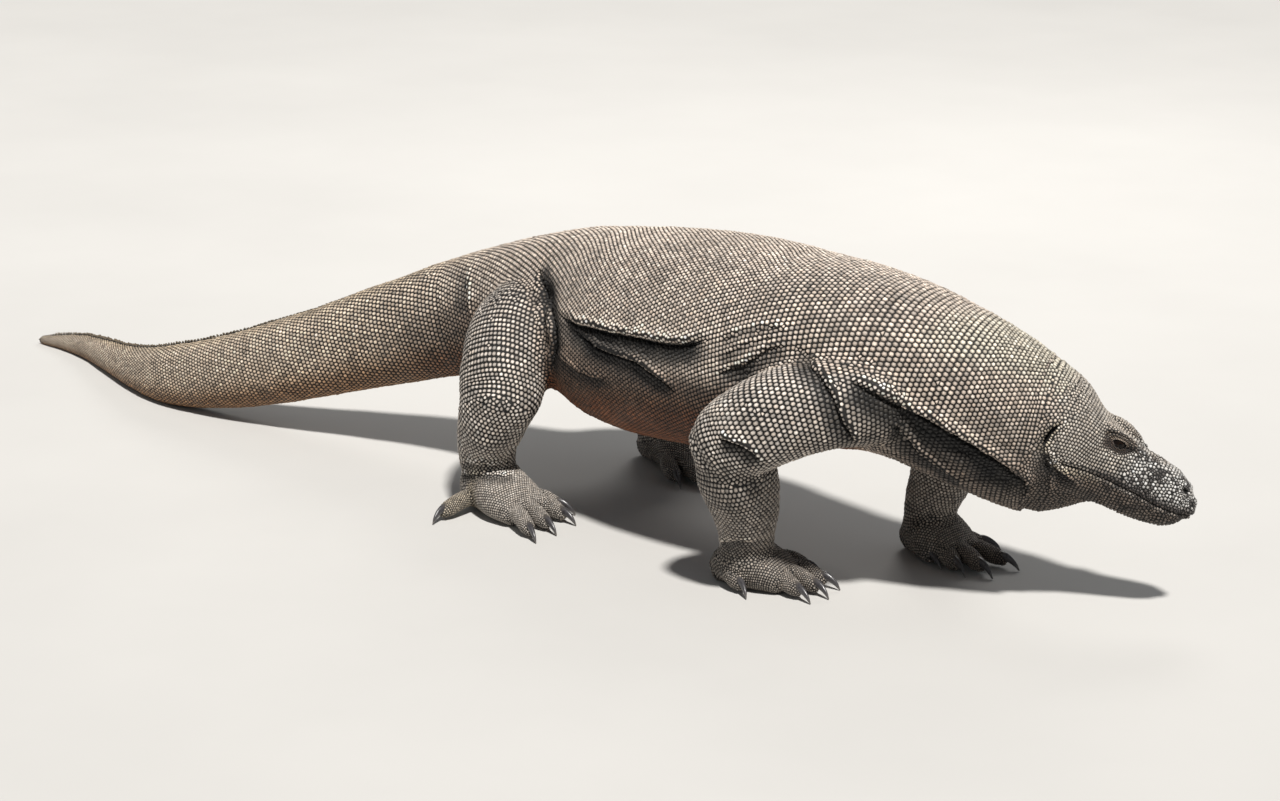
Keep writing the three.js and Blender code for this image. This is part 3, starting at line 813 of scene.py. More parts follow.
def opening_layers(h, side):
    """The same round the eye, the nostril and the ear of one side."""
    x, y, z, _ = eye_coords(h, side)
    o = eye_opening(x, y)
    near = (z > -8) & (h[:, 1] * side > 0)
    # painted shade in the creases round the lids
    crease_painted_shade = near * (bump((o + 1.2) / 0.24) + 0.8 * bump((o + 0.6) / 0.14))
    streak = bump((y - 2.5 + 0.18 * x) / 2.6) * smooth((x - 8) / 4) * smooth((32 - x) / 10) * near
    behind = bump((y - 6) / 6) * smooth((-6 - x) / 5) * smooth((26 + x) / 10) * near
    ear = ear_oval(h, side)
    ear_rim = smooth((2.6 - ear) / 1.2) * (h[:, 1] * side > 35) * (h[:, 0] < 8)
    return [
        (rgb(40, 28, 22), near * smooth((1.7 + o) / 0.7) * smooth((y + 2) / 4) * 0.85),
        (rgb(40, 30, 25), crease_painted_shade * smooth((2 - y) / 3) * 0.85),
        (rgb(142, 124, 108), near * bump((o + 0.3) / 0.2) * 0.75),
        (rgb(140, 124, 108), near * smooth((2.0 + o) / 0.7) * smooth((-1 - y) / 4) * 0.5),
        (rgb(16, 11, 9), near * smooth((o + 0.17) / 0.13)),
        (rgb(34, 24, 20), streak * 0.9),
        (rgb(48, 34, 28), behind * 0.9),
        # painted shade inside the nostril
        (rgb(18, 12, 10), smooth((1.15 - nostril_oval(h, side)) / 0.3)),
        (rgb(176, 162, 138), ear_rim * 0.5),
        # painted shade inside the ear opening
        (rgb(20, 14, 11), smooth((1.2 - ear) / 0.3)),
    ]


def markings_and_painted_light(p):
    """The animal's colours at points of its skin, with painted shade and painted highlights laid into them.
    """
    _, n = settle(p, 0)
    h = to_head(p)
    wide, small = noise(p, 110, 10), noise(p, 30, 11)
    c = np.tile(rgb(187, 173, 160), (len(p), 1)) * (1 + 0.07 * wide + 0.06 * small)[:, None]
    layers = body_layers(p, n, h[:, 0], small) + head_layers(p, n, h, small)
    for colour, weight in layers + opening_layers(h, -1) + opening_layers(h, 1):
        c = mix(c, colour, weight)
    # painted shade and painted highlights along the folds
    return c * fold_painted_light(p)[:, None]


# ---- coat: roots of scales in staggered rings round each tube ----
ROW_STEP = 0.87  # distance between rings of six-sided scales, in widths


def pitch_trunk(p, up):
    """Width of a scale on neck, trunk and tail, mm. Up is the sine of the angle round the body."""
    size = np.interp(p[:, 0], [-1244, -1000, -650, -380, -200, -40, 100, 420, 560, 660, 740, 800, 850],
                     [3.7, 4.5, 5.6, 6.5, 7.0, 6.9, 6.3, 6.2, 6.5, 6.7, 6.7, 6.2, 5.4])
    return size * (1 + np.where(up > 0, 0.16, -0.10) * np.abs(up) * smooth((p[:, 0] + 200) / 300))


def pitch_head(p, up):
    return np.interp(to_head(p)[:, 0], [-35, 5, 50, 100, 150, 207], [5.8, 4.8, 4.6, 5.1, 5.3, 4.6])


def even(width):
    return lambda p, up: np.full(len(p), width)


def lattice(tube, pitch, way, stretch=1.0, span=(0.0, 1.0)):
    """Roots in staggered rings, matched along the tube's top. Way -1 lays the coat towards its start."""
    angle = np.linspace(0.5, 2.5, 121) * math.pi
    length = tube.arc[-1]
    out = []
    s, ring = span[0] * length + 1.0, 0
    while s < span[1] * length:
        station = np.interp(s, tube.arc, np.arange(len(tube.arc)))
        q, _ = tube.surface(np.full(len(angle), station), angle)
        size = pitch(q, np.sin(angle))
        step = np.linalg.norm(np.diff(q, axis=0), axis=1) / ((size[1:] + size[:-1]) / 2)
        run = np.concatenate([[0], np.cumsum(step)])
        half = np.arange(0.5 * (ring % 2), run[-1] / 2 - 0.25, 1.0)
        place = np.concatenate([half, run[-1] - half[half > 0.01]])
        a = np.interp(place, run, angle)
        chart = [np.full(len(a), s / length), (place / run[-1] + 0.5) % 1]
        out.append(np.column_stack([np.full(len(a), station), a, np.interp(a, angle, size), *chart]))
        s += size.mean() * ROW_STEP * stretch
        ring += 1
    rows = np.vstack(out)
    q, ahead = tube.surface(rows[:, 0], rows[:, 1])
    return roots(q, ahead * way, rows[:, 2], rows[:, 3:5], stretch)


def roots(point, lie, size, chart, stretch=1.0, tall=0.235, keep=False):
    """A set of scales: root, way it lies, width, chart place, longest and tallest in widths, always kept."""
    full = lambda v: np.broadcast_to(np.asarray(v, float), (len(point),)).copy()
    out = {key: np.asarray(v, float) for key, v in (("point", point), ("lie", lie), ("chart", chart))}
    out.update(size=full(size), stretch=full(stretch), tall=full(tall), keep=full(keep))
    return out


LID_RINGS = [(1.5, 2.1), (3.5, 2.3), (5.8, 2.7), (8.4, 3.1), (11.4, 3.5)]  # off the opening, width


def eye_rings(side):
    """Small granules round the lids, on rings that follow their opening."""
    axes = eye_coords(np.zeros((1, 3)), side)[3]
    parts = []
    for k, (off, size) in enumerate(LID_RINGS):
        wide, tall = 9.2 + off, 5.1 + off
        turn = np.linspace(0, 2 * math.pi, 200)
        ring = np.stack([wide * np.cos(turn), tall * np.sin(turn)], 1)
        run = np.concatenate([[0], np.cumsum(np.linalg.norm(np.diff(ring, axis=0), axis=1))])
        count = int(run[-1] / size)
        at = np.interp((np.arange(count) + 0.5 * (k % 2)) / count * run[-1], run, turn)
        x, y = wide * np.cos(at), tall * np.sin(at)
        z = np.sqrt(np.maximum((EYE_RADIUS + 1.2)**2 - x * x - y * y, 4.0))
        h = eye_spot(side) + at_axes(x, y, z, axes)
        lie = (-np.sin(at))[:, None] * axes[0] + np.cos(at)[:, None] * axes[1]
        chart = np.stack([at / 6.3, np.full(count, k / 5 + 0.1)], 1)
        parts.append(roots(from_head(h), lie @ HEAD_AXES, size, chart, 1, 0.24))
    return join(parts)


def lip_rows(side):
    """One row of plates along each lip, from the corner of the mouth round to the snout's tip."""
    parts = []
    for k, (off, size, tall) in enumerate(((3.0, 4.9, 0.2), (-3.4, 4.5, 0.2))):
        line = [[u, 70.0, -1.0, 0.0] for u in np.arange(34, 168, size * 1.05)]
        line += [[168, 0, math.cos(t), math.sin(t)] for t in np.arange(1.5, 0.05, -size * 1.02 / 34)]
        found = []
        for j, (u, wide, ahead, aside) in enumerate(line):
            at = u if wide else u + 38 * ahead
            level = np.interp(at, *LIP_LINE.T) + off
            if wide:
                start, way = [u, side * wide, level], [0, -side, 0]
            else:
                start, way = [u + 60 * ahead, side * 60 * aside, level], [-ahead, -side * aside, 0]
            way = np.asarray(way, float) @ HEAD_AXES
            hit = skin_tree.ray_cast(Vector(from_head(start)), Vector(way), 90)
            if hit[0] is not None:
                found.append((hit[0], [j / 64, 0.25 + 0.5 * k]))
        spots = np.array([f[0] for f in found])
        lie = -np.gradient(spots, axis=0)
        parts.append(roots(spots, lie, size, [f[1] for f in found], 1.08, tall))
    return join(parts)


def keel(tube):
    """The double row of narrow, upright scales along the top of the tail."""
    parts = []
    for aside in (-1, 1):
        s = np.arange(6.0, 1010.0, 7.6) + (0 if aside < 0 else 1.6)
        station = np.interp(s, tube.arc, np.arange(len(tube.arc)))
        share = smooth(s / 60) * smooth((1010 - s) / 420)
        high = np.interp(station, np.arange(len(tube.c)), tube.size[:, 1])
        q, t = tube.surface(station, 0.5 * math.pi - aside * 1.8 / high)
        chart = np.stack([s / 1010, np.full(len(s), 0.25 + 0.25 * (aside + 1))], 1)
        parts.append(roots(q, -t, 4.6 + 2.6 * share, chart, 1.5, 0.22 + 0.36 * share, True))
    return join(parts)


def tree_of(points):
    tree = KDTree(len(points))
    for k, q in enumerate(points):
        tree.insert(q, k)
    tree.balance()
    return tree


def laid_flat(lie, normal):
    return unit(lie - (lie * normal).sum(1)[:, None] * normal)


def join(parts):
    return {k: np.concatenate([p[k] for p in parts]) for k in parts[0]}


def pick(r, mask):
    return {k: v[mask] for k, v in r.items()}


def to_skin(r):
    """Moves roots to the nearest place on the skin and takes its direction and shade there."""
    hits = [skin_tree.find_nearest(Vector(q), 16) for q in r["point"]]
    found = np.array([h[0] is not None for h in hits])
    r = pick(r, found)
    hits = [h for h in hits if h[0] is not None]
    r["point"] = np.array([h[0] for h in hits])
    corner = skin_tris[np.array([h[2] for h in hits])]
    r["normal"] = unit(skin_normals[corner].mean(1))
    r["shade"] = skin_shade[corner].mean(1)
    r["lie"] = laid_flat(r["lie"], r["normal"])
    return r


def bare(p):
    """Places with no scales: the eyes' openings, nostrils, ears and the line of the mouth."""
    h = to_head(p)
    out = (np.abs(lip_height(h)) < 1.1) & (h[:, 0] > 30) & ((np.abs(h[:, 1]) > 7) | (h[:, 0] > 195))
    for side in (-1, 1):
        x, y, z, _ = eye_coords(h, side)
        out |= (z > 0) & (eye_opening(x, y) > -0.12) & (x * x + y * y + z * z < 500)
        out |= (nostril_oval(h, side) < 1.1) | (ear_oval(h, side) < 1.15)
    return out


def thin_out(r, share=0.62):
    """Drops roots too close to one that came before."""
    tree = tree_of(r["point"])
    alive = np.ones(len(r["point"]), bool)
    alive[bare(r["point"]) & (r["keep"] < 0.5)] = False
    reach = r["size"] * share * np.where(r["keep"] > 0.5, 0.5, 1)
    for k, q in enumerate(r["point"]):
        if alive[k]:
            for _, j, d in tree.find_range(q, reach[k]):
                if j > k:
                    alive[j] = False
    return pick(r, alive)


def fill_holes(r):
    """Adds roots on bare skin, alike to the nearest one."""
    tree = tree_of(r["point"])
    with_middles = lambda v: np.concatenate([v, v[skin_tris].mean(1)])
    places, ways, shades = with_middles(skin_points), with_middles(skin_normals), with_middles(skin_shade)
    hits = [tree.find(q) for q in places]
    near, gap = np.array([h[1] for h in hits]), np.array([h[2] for h in hits])
    free = (gap > 0.72 * r["size"][near]) & (gap < 30)
    spots = np.flatnonzero(free & (r["keep"][near] < 0.5) & ~bare(places))
    spots = spots[np.argsort(gap[spots] / r["size"][near[spots]], kind="stable")[::-1]]
    more = pick(r, near[spots])
    way = places[spots] - more["point"]
    aside = (way * np.cross(more["normal"], more["lie"])).sum(1)
    turn = np.arctan2(aside, (way * more["lie"]).sum(1))
    more["uv"] = np.clip(more["uv"] + 0.0042 * np.stack([np.cos(turn), np.sin(turn)], 1), 0.002, 0.998)
    more["point"], more["normal"], more["shade"] = places[spots], unit(ways[spots]), shades[spots]
    more["lie"] = laid_flat(more["lie"], more["normal"])
    return join([r, thin_out(more, 0.7)])


# ---- coat: each scale is a low six-sided dome on its root ----
CORNERS = np.arange(6) / 6 * 2 * math.pi


def outlines(r):
    """Distance of each scale's six corners from its root, short of its neighbours, and the ways to them."""
    n = len(r["point"])
    tree = tree_of(r["point"])
    near = np.zeros((n, 10), int)
    for k, q in enumerate(r["point"]):
        hits = [j for _, j, _ in tree.find_n(q, 11) if j != k][:10]
        near[k, :len(hits)] = hits
    off = r["point"][near] - r["point"][:, None]
    cross = np.cross(r["normal"], r["lie"])
    x, y = (off * r["lie"][:, None]).sum(2), (off * cross[:, None]).sum(2)
    d, way = np.hypot(x, y) + 1e-6, np.arctan2(y, x)
    mine, other = r["size"][:, None], r["size"][near]
    half = d * mine / (mine + other) - 0.04 * mine
    long = np.sqrt((x[:, :6] ** 2).sum(1) / ((y[:, :6] ** 2).sum(1) + 1e-6)).clip(0.8, 1.45)
    angle = np.arctan2(np.sin(CORNERS), long[:, None] * np.cos(CORNERS))
    turn = np.cos(angle[:, None] - way[:, :, None])
    limit = np.where(turn > 0.22, half[:, :, None] / np.maximum(turn, 0.22), 99).min(1)
    most = np.maximum(r["stretch"], long)[:, None]
    widest = r["size"][:, None] * 0.70 * (1 + (most - 1) * np.abs(np.cos(angle)))
    way = np.cos(angle)[:, :, None] * r["lie"][:, None] + np.sin(angle)[:, :, None] * cross[:, None]
    return np.clip(limit, 0.24 * r["size"][:, None], widest), way


# Rings of a scale from rim to top, for large and small scales: share of radius, share of height, tone. The
# tone is painted shade at the rim and a painted highlight towards the top.
RINGS = {
    True: ((1.0, 0.0, 0.08), (0.86, 0.52, 0.42), (0.56, 0.93, 1.06)),
    False: ((1.0, 0.0, 0.08), (0.70, 0.82, 0.93)),
}
# painted highlight on each scale's top
TOP_HIGHLIGHT_TONE = 1.24
RIM_SUNK = 0.2
UV_RADIUS = 0.0015


def dome_faces(rings):
    """Triangles of one dome: bands between its rings, and a cap round its top."""
    k = np.arange(6)
    j = (k + 1) % 6
    top = 6 * rings
    out = []
    for low in range(0, top - 6, 6):
        out += columns((low + k, low + j, low + 6 + j), (low + k, low + 6 + j, low + 6 + k))
    return np.concatenate(out + columns((top - 6 + k, top - 6 + j, np.full(6, top))))


def domes(r, fine, uv):
    """Vertices, triangles, colours and OFBake places of six-sided scales."""
    n, rings = len(r["point"]), RINGS[fine]
    c, s = np.cos(CORNERS), np.sin(CORNERS)
    up = r["normal"][:, None] * (r["size"] * r["tall"])[:, None, None]
    verts, tones, spread = [], [], []
    for wide, high, tone in rings:
        lift = up * (high * (1 + 0.16 * c))[None, :, None] - (high == 0) * RIM_SUNK * r["normal"][:, None]
        verts.append(r["point"][:, None] + r["reach"][:, :, None] * wide * r["way"] + lift)
        tones += [tone] * 6
        spread.append(UV_RADIUS * wide * np.stack([c, s], 1))
    verts.append(r["point"][:, None] + r["lie"][:, None] * (0.08 * r["size"])[:, None, None] + up * 1.02)
    tones.append(TOP_HIGHLIGHT_TONE)
    spread.append([[0, 0]])
    tones = np.array(tones)[None]
    faces = dome_faces(len(rings))[None] + (np.arange(n) * tones.size)[:, None, None]
    # painted shadow stays on each scale's root side, under the tip of the scale before it
    ahead = np.append(np.tile(0.3 + 0.7 * (1 + c) / 2, len(rings)), 1)
    tones = tones + np.maximum(1 - tones, 0) * r["merge"][:, None] * ahead
    paint = r["paint"][:, None] * tones[:, :, None]
    places = uv[:, None] + np.vstack(spread)[None]
    return [v.reshape(-1, v.shape[-1]) for v in (np.concatenate(verts, 1), faces, paint, places)]


# ---- meshes ----
def new_object(name, points, tris, paint, material, uv=None):
    """A mesh object from points in mm of the build frame, with its paint in sRGB shares."""
    mesh = bpy.data.meshes.new(name)
    mesh.vertices.add(len(points))
    mesh.vertices.foreach_set("co", (points * MM + SHIFT).astype(f32).ravel())
    mesh.loops.add(3 * len(tris))
    mesh.loops.foreach_set("vertex_index", tris.astype(np.int32).ravel())
    mesh.polygons.add(len(tris))
    mesh.polygons.foreach_set("loop_start", np.arange(0, 3 * len(tris), 3, dtype=np.int32))
    mesh.update(calc_edges=True)
    mesh.validate()
    mesh.shade_smooth()
    colour = mesh.color_attributes.new("Paint", "FLOAT_COLOR", "POINT")
    rgba = np.column_stack([linear(paint), np.ones(len(points))])
    colour.data.foreach_set("color", rgba.astype(f32).ravel())
    if uv is not None:
        layer = mesh.uv_layers.new(name="OFBake")
        layer.data.foreach_set("uv", uv[tris.ravel()].astype(f32).ravel())
    mesh.materials.append(material)
    obj = bpy.data.objects.new(name, mesh)
    bpy.context.scene.collection.objects.link(obj)
    return obj


def vertex_normals(points, tris):
    a, b, c = (points[tris[:, k]] for k in range(3))
    face = np.cross(b - a, c - a)
    out = np.zeros_like(points)
    for k in range(3):
        for axis in range(3):
            out[:, axis] += np.bincount(tris[:, k], face[:, axis], len(points))
    return unit(out)


# ---- materials ----
class Nodes:
    def __init__(self, name):
        self.material = bpy.data.materials.new(name)
        self.material.use_nodes = True
        self.tree = self.material.node_tree
        self.tree.nodes.clear()
        self.out = self.add("ShaderNodeOutputMaterial")
        self.bsdf = self.add("ShaderNodeBsdfPrincipled")
        self.link(self.bsdf.outputs[0], self.out.inputs[0])

    def add(self, kind, **settings):
        node = self.tree.nodes.new(kind)
        for key, value in settings.items():
            if key in node.inputs:
                node.inputs[key].default_value = value
            else:
                setattr(node, key, value)
        return node

    def link(self, a, b):
        self.tree.links.new(a, b)

    def noise(self, where, scale, detail=3.0, rough=0.55):
        node = self.add("ShaderNodeTexNoise", Scale=scale, Detail=detail, Roughness=rough)
        self.link(where, node.inputs["Vector"])
        return node.outputs["Fac"]

    def remap(self, value, low, high, a, b):
        node = self.add("ShaderNodeMapRange")
        self.link(value, node.inputs[0])
        for k, v in enumerate((low, high, a, b)):
            node.inputs[k + 1].default_value = v
        return node.outputs[0]

    def math(self, kind, a, b):
        node = self.add("ShaderNodeMath", operation=kind)
        for k, v in enumerate((a, b)):
            if hasattr(v, "is_linked"):
                self.link(v, node.inputs[k])
            else:
                node.inputs[k].default_value = v
        return node.outputs[0]

    def tint(self, colour, factor):
        """Colour times a grey factor."""
        node = self.add("ShaderNodeVectorMath", operation="SCALE")
        self.link(colour, node.inputs[0])
        self.link(factor, node.inputs["Scale"])
        return node.outputs[0]


def hide_material(name, rough_low, rough_high, grain, bump_depth, dust):
    """Painted hide with fine grain, small pits and a little dust."""
    m = Nodes(name)
    where = m.add("ShaderNodeTexCoord").outputs["Object"]
    paint = m.add("ShaderNodeAttribute", attribute_name="Paint").outputs["Color"]
    fine = m.noise(where, grain, 4.0, 0.6)
    broad = m.noise(where, 34.0, 5.0, 0.6)
    cells = m.add("ShaderNodeTexVoronoi", Scale=grain * 0.55)
    m.link(where, cells.inputs["Vector"])
    pits = m.remap(cells.outputs["Distance"], 0.0, 0.55, 1.0, 0.84)
    shade = m.math("MULTIPLY", m.remap(broad, 0.3, 0.7, 0.9, 1.1), pits)
    shade = m.math("MULTIPLY", m.remap(fine, 0.3, 0.72, 0.78, 1.2), shade)
    painted = m.tint(paint, shade)
    soil = m.add("ShaderNodeMix", data_type="RGBA")
    m.link(m.remap(m.noise(where, 11.0, 6.0, 0.65), 0.5, 0.72, 0.0, dust), soil.inputs["Factor"])
    m.link(painted, soil.inputs[6])
    soil.inputs[7].default_value = (0.42, 0.37, 0.31, 1)
    m.link(soil.outputs[2], m.bsdf.inputs["Base Color"])
    m.link(m.remap(fine, 0.3, 0.7, rough_low, rough_high), m.bsdf.inputs["Roughness"])
    m.bsdf.inputs["Specular IOR Level"].default_value = 0.42
    ridges = m.math("ADD", fine, m.math("MULTIPLY", cells.outputs["Distance"], -0.6))
    bump_node = m.add("ShaderNodeBump", Strength=0.7, Distance=bump_depth)
    m.link(ridges, bump_node.inputs["Height"])
    m.link(bump_node.outputs[0], m.bsdf.inputs["Normal"])
    return m.material


def claw_material():
    m = Nodes("claw_horn")
    uv = m.add("ShaderNodeUVMap", uv_map="OFBake").outputs[0]
    stretch = m.add("ShaderNodeMapping")
    stretch.inputs["Scale"].default_value = (14, 240, 1)
    m.link(uv, stretch.inputs[0])
    streak = m.noise(stretch.outputs[0], 1.0, 4.0, 0.6)
    where = m.add("ShaderNodeTexCoord").outputs["Object"]
    worn = m.noise(where, 260.0, 4.0, 0.6)
    paint = m.add("ShaderNodeAttribute", attribute_name="Paint").outputs["Color"]
    shade = m.math("MULTIPLY", m.remap(streak, 0.3, 0.7, 0.7, 1.35), m.remap(worn, 0.3, 0.7, 0.85, 1.2))
    m.link(m.tint(paint, shade), m.bsdf.inputs["Base Color"])
    m.link(m.remap(worn, 0.3, 0.7, 0.22, 0.42), m.bsdf.inputs["Roughness"])
    m.bsdf.inputs["Coat Weight"].default_value = 0.35
    m.bsdf.inputs["Coat Roughness"].default_value = 0.2
    bump_node = m.add("ShaderNodeBump", Strength=0.6, Distance=0.0004)
    m.link(streak, bump_node.inputs["Height"])
    m.link(bump_node.outputs[0], m.bsdf.inputs["Normal"])
    return m.material


def eye_material():
    m = Nodes("eye_wet")
    where = m.add("ShaderNodeTexCoord").outputs["Object"]
    paint = m.add("ShaderNodeAttribute", attribute_name="Paint").outputs["Color"]
    fleck = m.noise(where, 900.0, 4.0, 0.6)
    m.link(m.tint(paint, m.remap(fleck, 0.3, 0.7, 0.7, 1.35)), m.bsdf.inputs["Base Color"])
    m.link(m.remap(fleck, 0.3, 0.7, 0.10, 0.18), m.bsdf.inputs["Roughness"])
    m.bsdf.inputs["Specular IOR Level"].default_value = 0.08
    m.bsdf.inputs["Coat Weight"].default_value = 0.22
    m.bsdf.inputs["Coat Roughness"].default_value = 0.02
    return m.material


# ---- the skin ----
SKIN_TONE_WITH_PAINTED_SHADE = 0.13  # the skin between the scales is this much darker beside them, partly its own colour and partly painted shade
LOWEST_SKIN, LOWEST_SCALE, LOWEST_CLAW = 0.6, 0.2, 0.4  # mm over the floor
folds = fold_lines()
eye_low, eye_high = (np.array(v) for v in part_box("eye_right"))
SHIFT = ((eye_low + eye_high) / 2 - from_head(eye_spot(-1)) * MM) * [1, 1, 0]

skin_points, skin_tris = build_skin()
_, outward = settle(skin_points, 0)
a, b, c = (skin_points[skin_tris[:, k]] for k in range(3))
if (np.cross(b - a, c - a) * outward[skin_tris[:, 0]]).sum() < 0:
    skin_tris = skin_tris[:, ::-1]
height = relief(skin_points, outward)
skin_points = shape_lids(skin_points + outward * height[:, None])
skin_points[:, 2] = np.maximum(skin_points[:, 2], LOWEST_SKIN)
skin_normals = vertex_normals(skin_points, skin_tris)
# painted shade where the skin sinks into folds and hollows, painted highlight where it rises
skin_shade = 1 - 0.62 * smooth((-height - 0.6) / 5.0) + 0.16 * smooth((height - 0.5) / 4.0)
skin_paint = markings_and_painted_light(skin_points) * (skin_shade * SKIN_TONE_WITH_PAINTED_SHADE)[:, None]
skin_tree = BVHTree.FromPolygons(skin_points.tolist(), skin_tris.tolist())


# ---- the coat: roots of every tube, joined, thinned and outlined together ----
sets = []
# Widths at the start and the end of each leg's upper part, lower part and palm, mm.
LIMB_PITCH = {"fore": ((7.0, 6.8), (6.8, 5.2), (4.5, 3.9)), "hind": ((6.8, 7.0), (7.0, 5.6), (4.6, 4.0))}
TOE_PITCH = 3.5
BROW_PITCH = 4.0
TAIL_START = -215  # x of the border between the trunk's set and the tail's, mm
TAIL_STRETCH = 1.36


def gather(group, r, cell):
    """cell is the chart's part of the unit square: left, bottom, width, height."""
    r["group"] = np.full(len(r["point"]), group)
    r["uv"] = np.array(cell[:2]) + (0.02 + 0.96 * np.clip(r["chart"], 0, 1)) * np.array(cell[2:])
    sets.append(r)


def gather_limb(tube):
    """Roots of one part of a leg: upper, lower, palm or toe, each with its cell of the chart."""
    leg, part = tube.name.rsplit("_", 1)
    if part == "toe":
        number = sum(1 for r in sets if r["group"][0] == leg + "_foot")
        cell = (number % 3 / 3, number // 3 / 2, 1 / 3, 1 / 2)
        gather(leg + "_foot", lattice(tube, even(TOE_PITCH), 1), cell)
        return
    first, last = LIMB_PITCH[leg[:4]][("upper", "lower", "palm").index(part)]
    start, end = tube.c[0], tube.c[-1]

    def pitch(p, up):
        along = ((p - start) @ (end - start)) / ((end - start) @ (end - start))
        return first + (last - first) * np.clip(along, 0, 1)

    cell = {"upper": (0, 0, 1, 0.5), "lower": (0, 0.5, 1, 0.5), "palm": (0, 0, 1 / 3, 0.5)}[part]
    gather(leg + ("_foot" if part == "palm" else "_leg"), lattice(tube, pitch, 1), cell)


def gather_all():
    for side, place in ((-1, 0.0), (1, 0.25)):
        gather("head", eye_rings(side), (0.76, place, 0.24, 0.23))
        gather("head", lip_rows(side), (0.76, 0.5 + place, 0.24, 0.23))
    gather("tail", keel(spine), (0.0, 0.9, 1.0, 0.1))
    border = float(np.interp(TAIL_START, spine.c[:, 0], spine.arc)) / spine.arc[-1]
    tail = lattice(spine, pitch_trunk, -1, TAIL_STRETCH, (0.0, border))
    gather("tail", tail, (0.0, 0.0, 1.0, 0.9))
    gather("trunk", lattice(spine, pitch_trunk, -1, 1.0, (border, 1.0)), (0.0, 0.0, 1.0, 1.0))
    gather("head", lattice(skull, pitch_head, -1), (0.0, 0.0, 0.74, 1.0))
    for tube in tubes[2:]:
        if tube.name == "brow":
            gather("head", lattice(tube, even(BROW_PITCH), -1), (0.75, 0.45, 0.01, 0.04))
        else:
            gather_limb(tube)


def scatter(r):
    """Moves the roots a little out of line and makes them uneven, most of all on the snout."""
    free = r["keep"] < 0.5
    count = len(free)
    away = unit(np.cross(r["lie"], rng.normal(size=(count, 3))))
    snout = smooth((to_head(r["point"])[:, 0] - 80) / 50)
    far = r["size"] * rng.uniform(0, 0.10, count) * np.where(r["group"] == "head", 1.2 + 1.6 * snout, 1)
    r["point"] += away * (far * free)[:, None]
    uneven = 0.2 * smooth((to_head(r["point"])[:, 0] - 80) / 30) + 0.05
    r["size"] *= 1 + uneven * np.clip(rng.normal(size=count), -1.6, 1.6) * free


def on_own_side(r):
    """Drops roots deep in the flesh, and those of trunk and head past their shared border."""
    ahead = to_head(r["point"])[:, 0] + 4 * noise(r["point"], 12, 20)
    pouch = to_head(r["point"])[:, 2] < -74
    wrong = ((r["group"] == "trunk") & (ahead > -16) & ~pouch) | ((r["group"] == "head") & (ahead < -18))
    return pick(r, ((base_field(r["point"]) > -14) & ~wrong) | (r["keep"] > 0.5))


def colour_coat(r):
    """Height, colour and share of the scale's colour that runs down over the painted shade of the rim, for
    each scale.
    """
    luck = rng.normal(size=(len(r["point"]), 3))
    trunk, x = r["group"] == "trunk", r["point"][:, 0]
    r["tall"] *= np.clip(1 + 0.14 * luck[:, 0], 0.6, 1.4) * (1 + 0.25 * smooth((x - 560) / 100) * trunk)
    tone = np.clip(1 + 0.10 * luck[:, 1], 0.7, 1.3)
    paint = markings_and_painted_light(r["point"]) * r["shade"][:, None] * tone[:, None]
    # less painted shade on the rims of upward-facing trunk scales, and a little less on the head
    r["merge"] = (0.35 + 0.3 * smooth((x - 560) / 120)) * smooth((r["normal"][:, 2] + 0.15) / 0.6) * trunk
    r["merge"] += 0.15 * (r["group"] == "head")
    ridge = (r["keep"] > 0.5)[:, None]
    r["paint"] = np.where(ridge, rgb(92, 80, 62), paint) * (1 + 0.006 * luck[:, 2:3] * [1, 0, -1])


gather_all()
coat = join(sets)
scatter(coat)
coat = fill_holes(thin_out(to_skin(on_own_side(coat))))
coat["reach"], coat["way"] = outlines(coat)
colour_coat(coat)


hides = {
    "skin": hide_material("hide_between_scales", 0.62, 0.85, 620.0, 0.0006, 0.03),
    "trunk": hide_material("scales_of_trunk", 0.44, 0.66, 900.0, 0.00035, 0.10),
    "tail": hide_material("scales_of_tail", 0.46, 0.68, 850.0, 0.00035, 0.12),
    "limb": hide_material("scales_of_limbs", 0.42, 0.64, 900.0, 0.0004, 0.14),
    "head": hide_material("scales_of_head", 0.36, 0.58, 1300.0, 0.00025, 0.06),
}
MOST = 6500  # scales in one coat piece
LARGE = 6.3  # width from which a scale has the finer rings, mm

flesh = [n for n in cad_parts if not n.startswith("eye") and "_claw_" not in n]
skin = new_object("skin", skin_points, skin_tris, skin_paint, hides["skin"])
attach(skin, "root")
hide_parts(*flesh)


def coat_piece(name, group, part):
    """One object from the coat's scales numbered in part."""
    uv = coat["uv"][part].copy()
    if group in ("trunk", "tail"):
        uv[:, 0] = 0.02 + 0.96 * (uv[:, 0] - uv[:, 0].min()) / np.ptp(uv[:, 0])
    large = coat["size"][part] > LARGE
    points, tris, paints, places, base = [], [], [], [], 0
    for chosen, fine in ((large, True), (~large, False)):
        if chosen.any():
            v, f, colour, place = domes(pick(coat, part[chosen]), fine, uv[chosen])
            points.append(v)
            tris.append(f + base)
            paints.append(colour)
            places.append(place)
            base += len(v)
    v = np.vstack(points)
    v[:, 2] = np.maximum(v[:, 2], LOWEST_SCALE)
    hide = hides.get(group, hides["limb"])
    return new_object(name, v, np.vstack(tris), np.vstack(paints), hide, np.vstack(places))


for group in sorted(set(coat["group"])):
    mine = np.flatnonzero(coat["group"] == group)
    if group in ("trunk", "tail"):
        mine = mine[np.argsort(coat["uv"][mine, 0], kind="stable")]
    for k, part in enumerate(np.array_split(mine, math.ceil(len(mine) / MOST))):
        piece = coat_piece(f"scales_{group}_{k + 1}", group, part)
        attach(piece, "root")


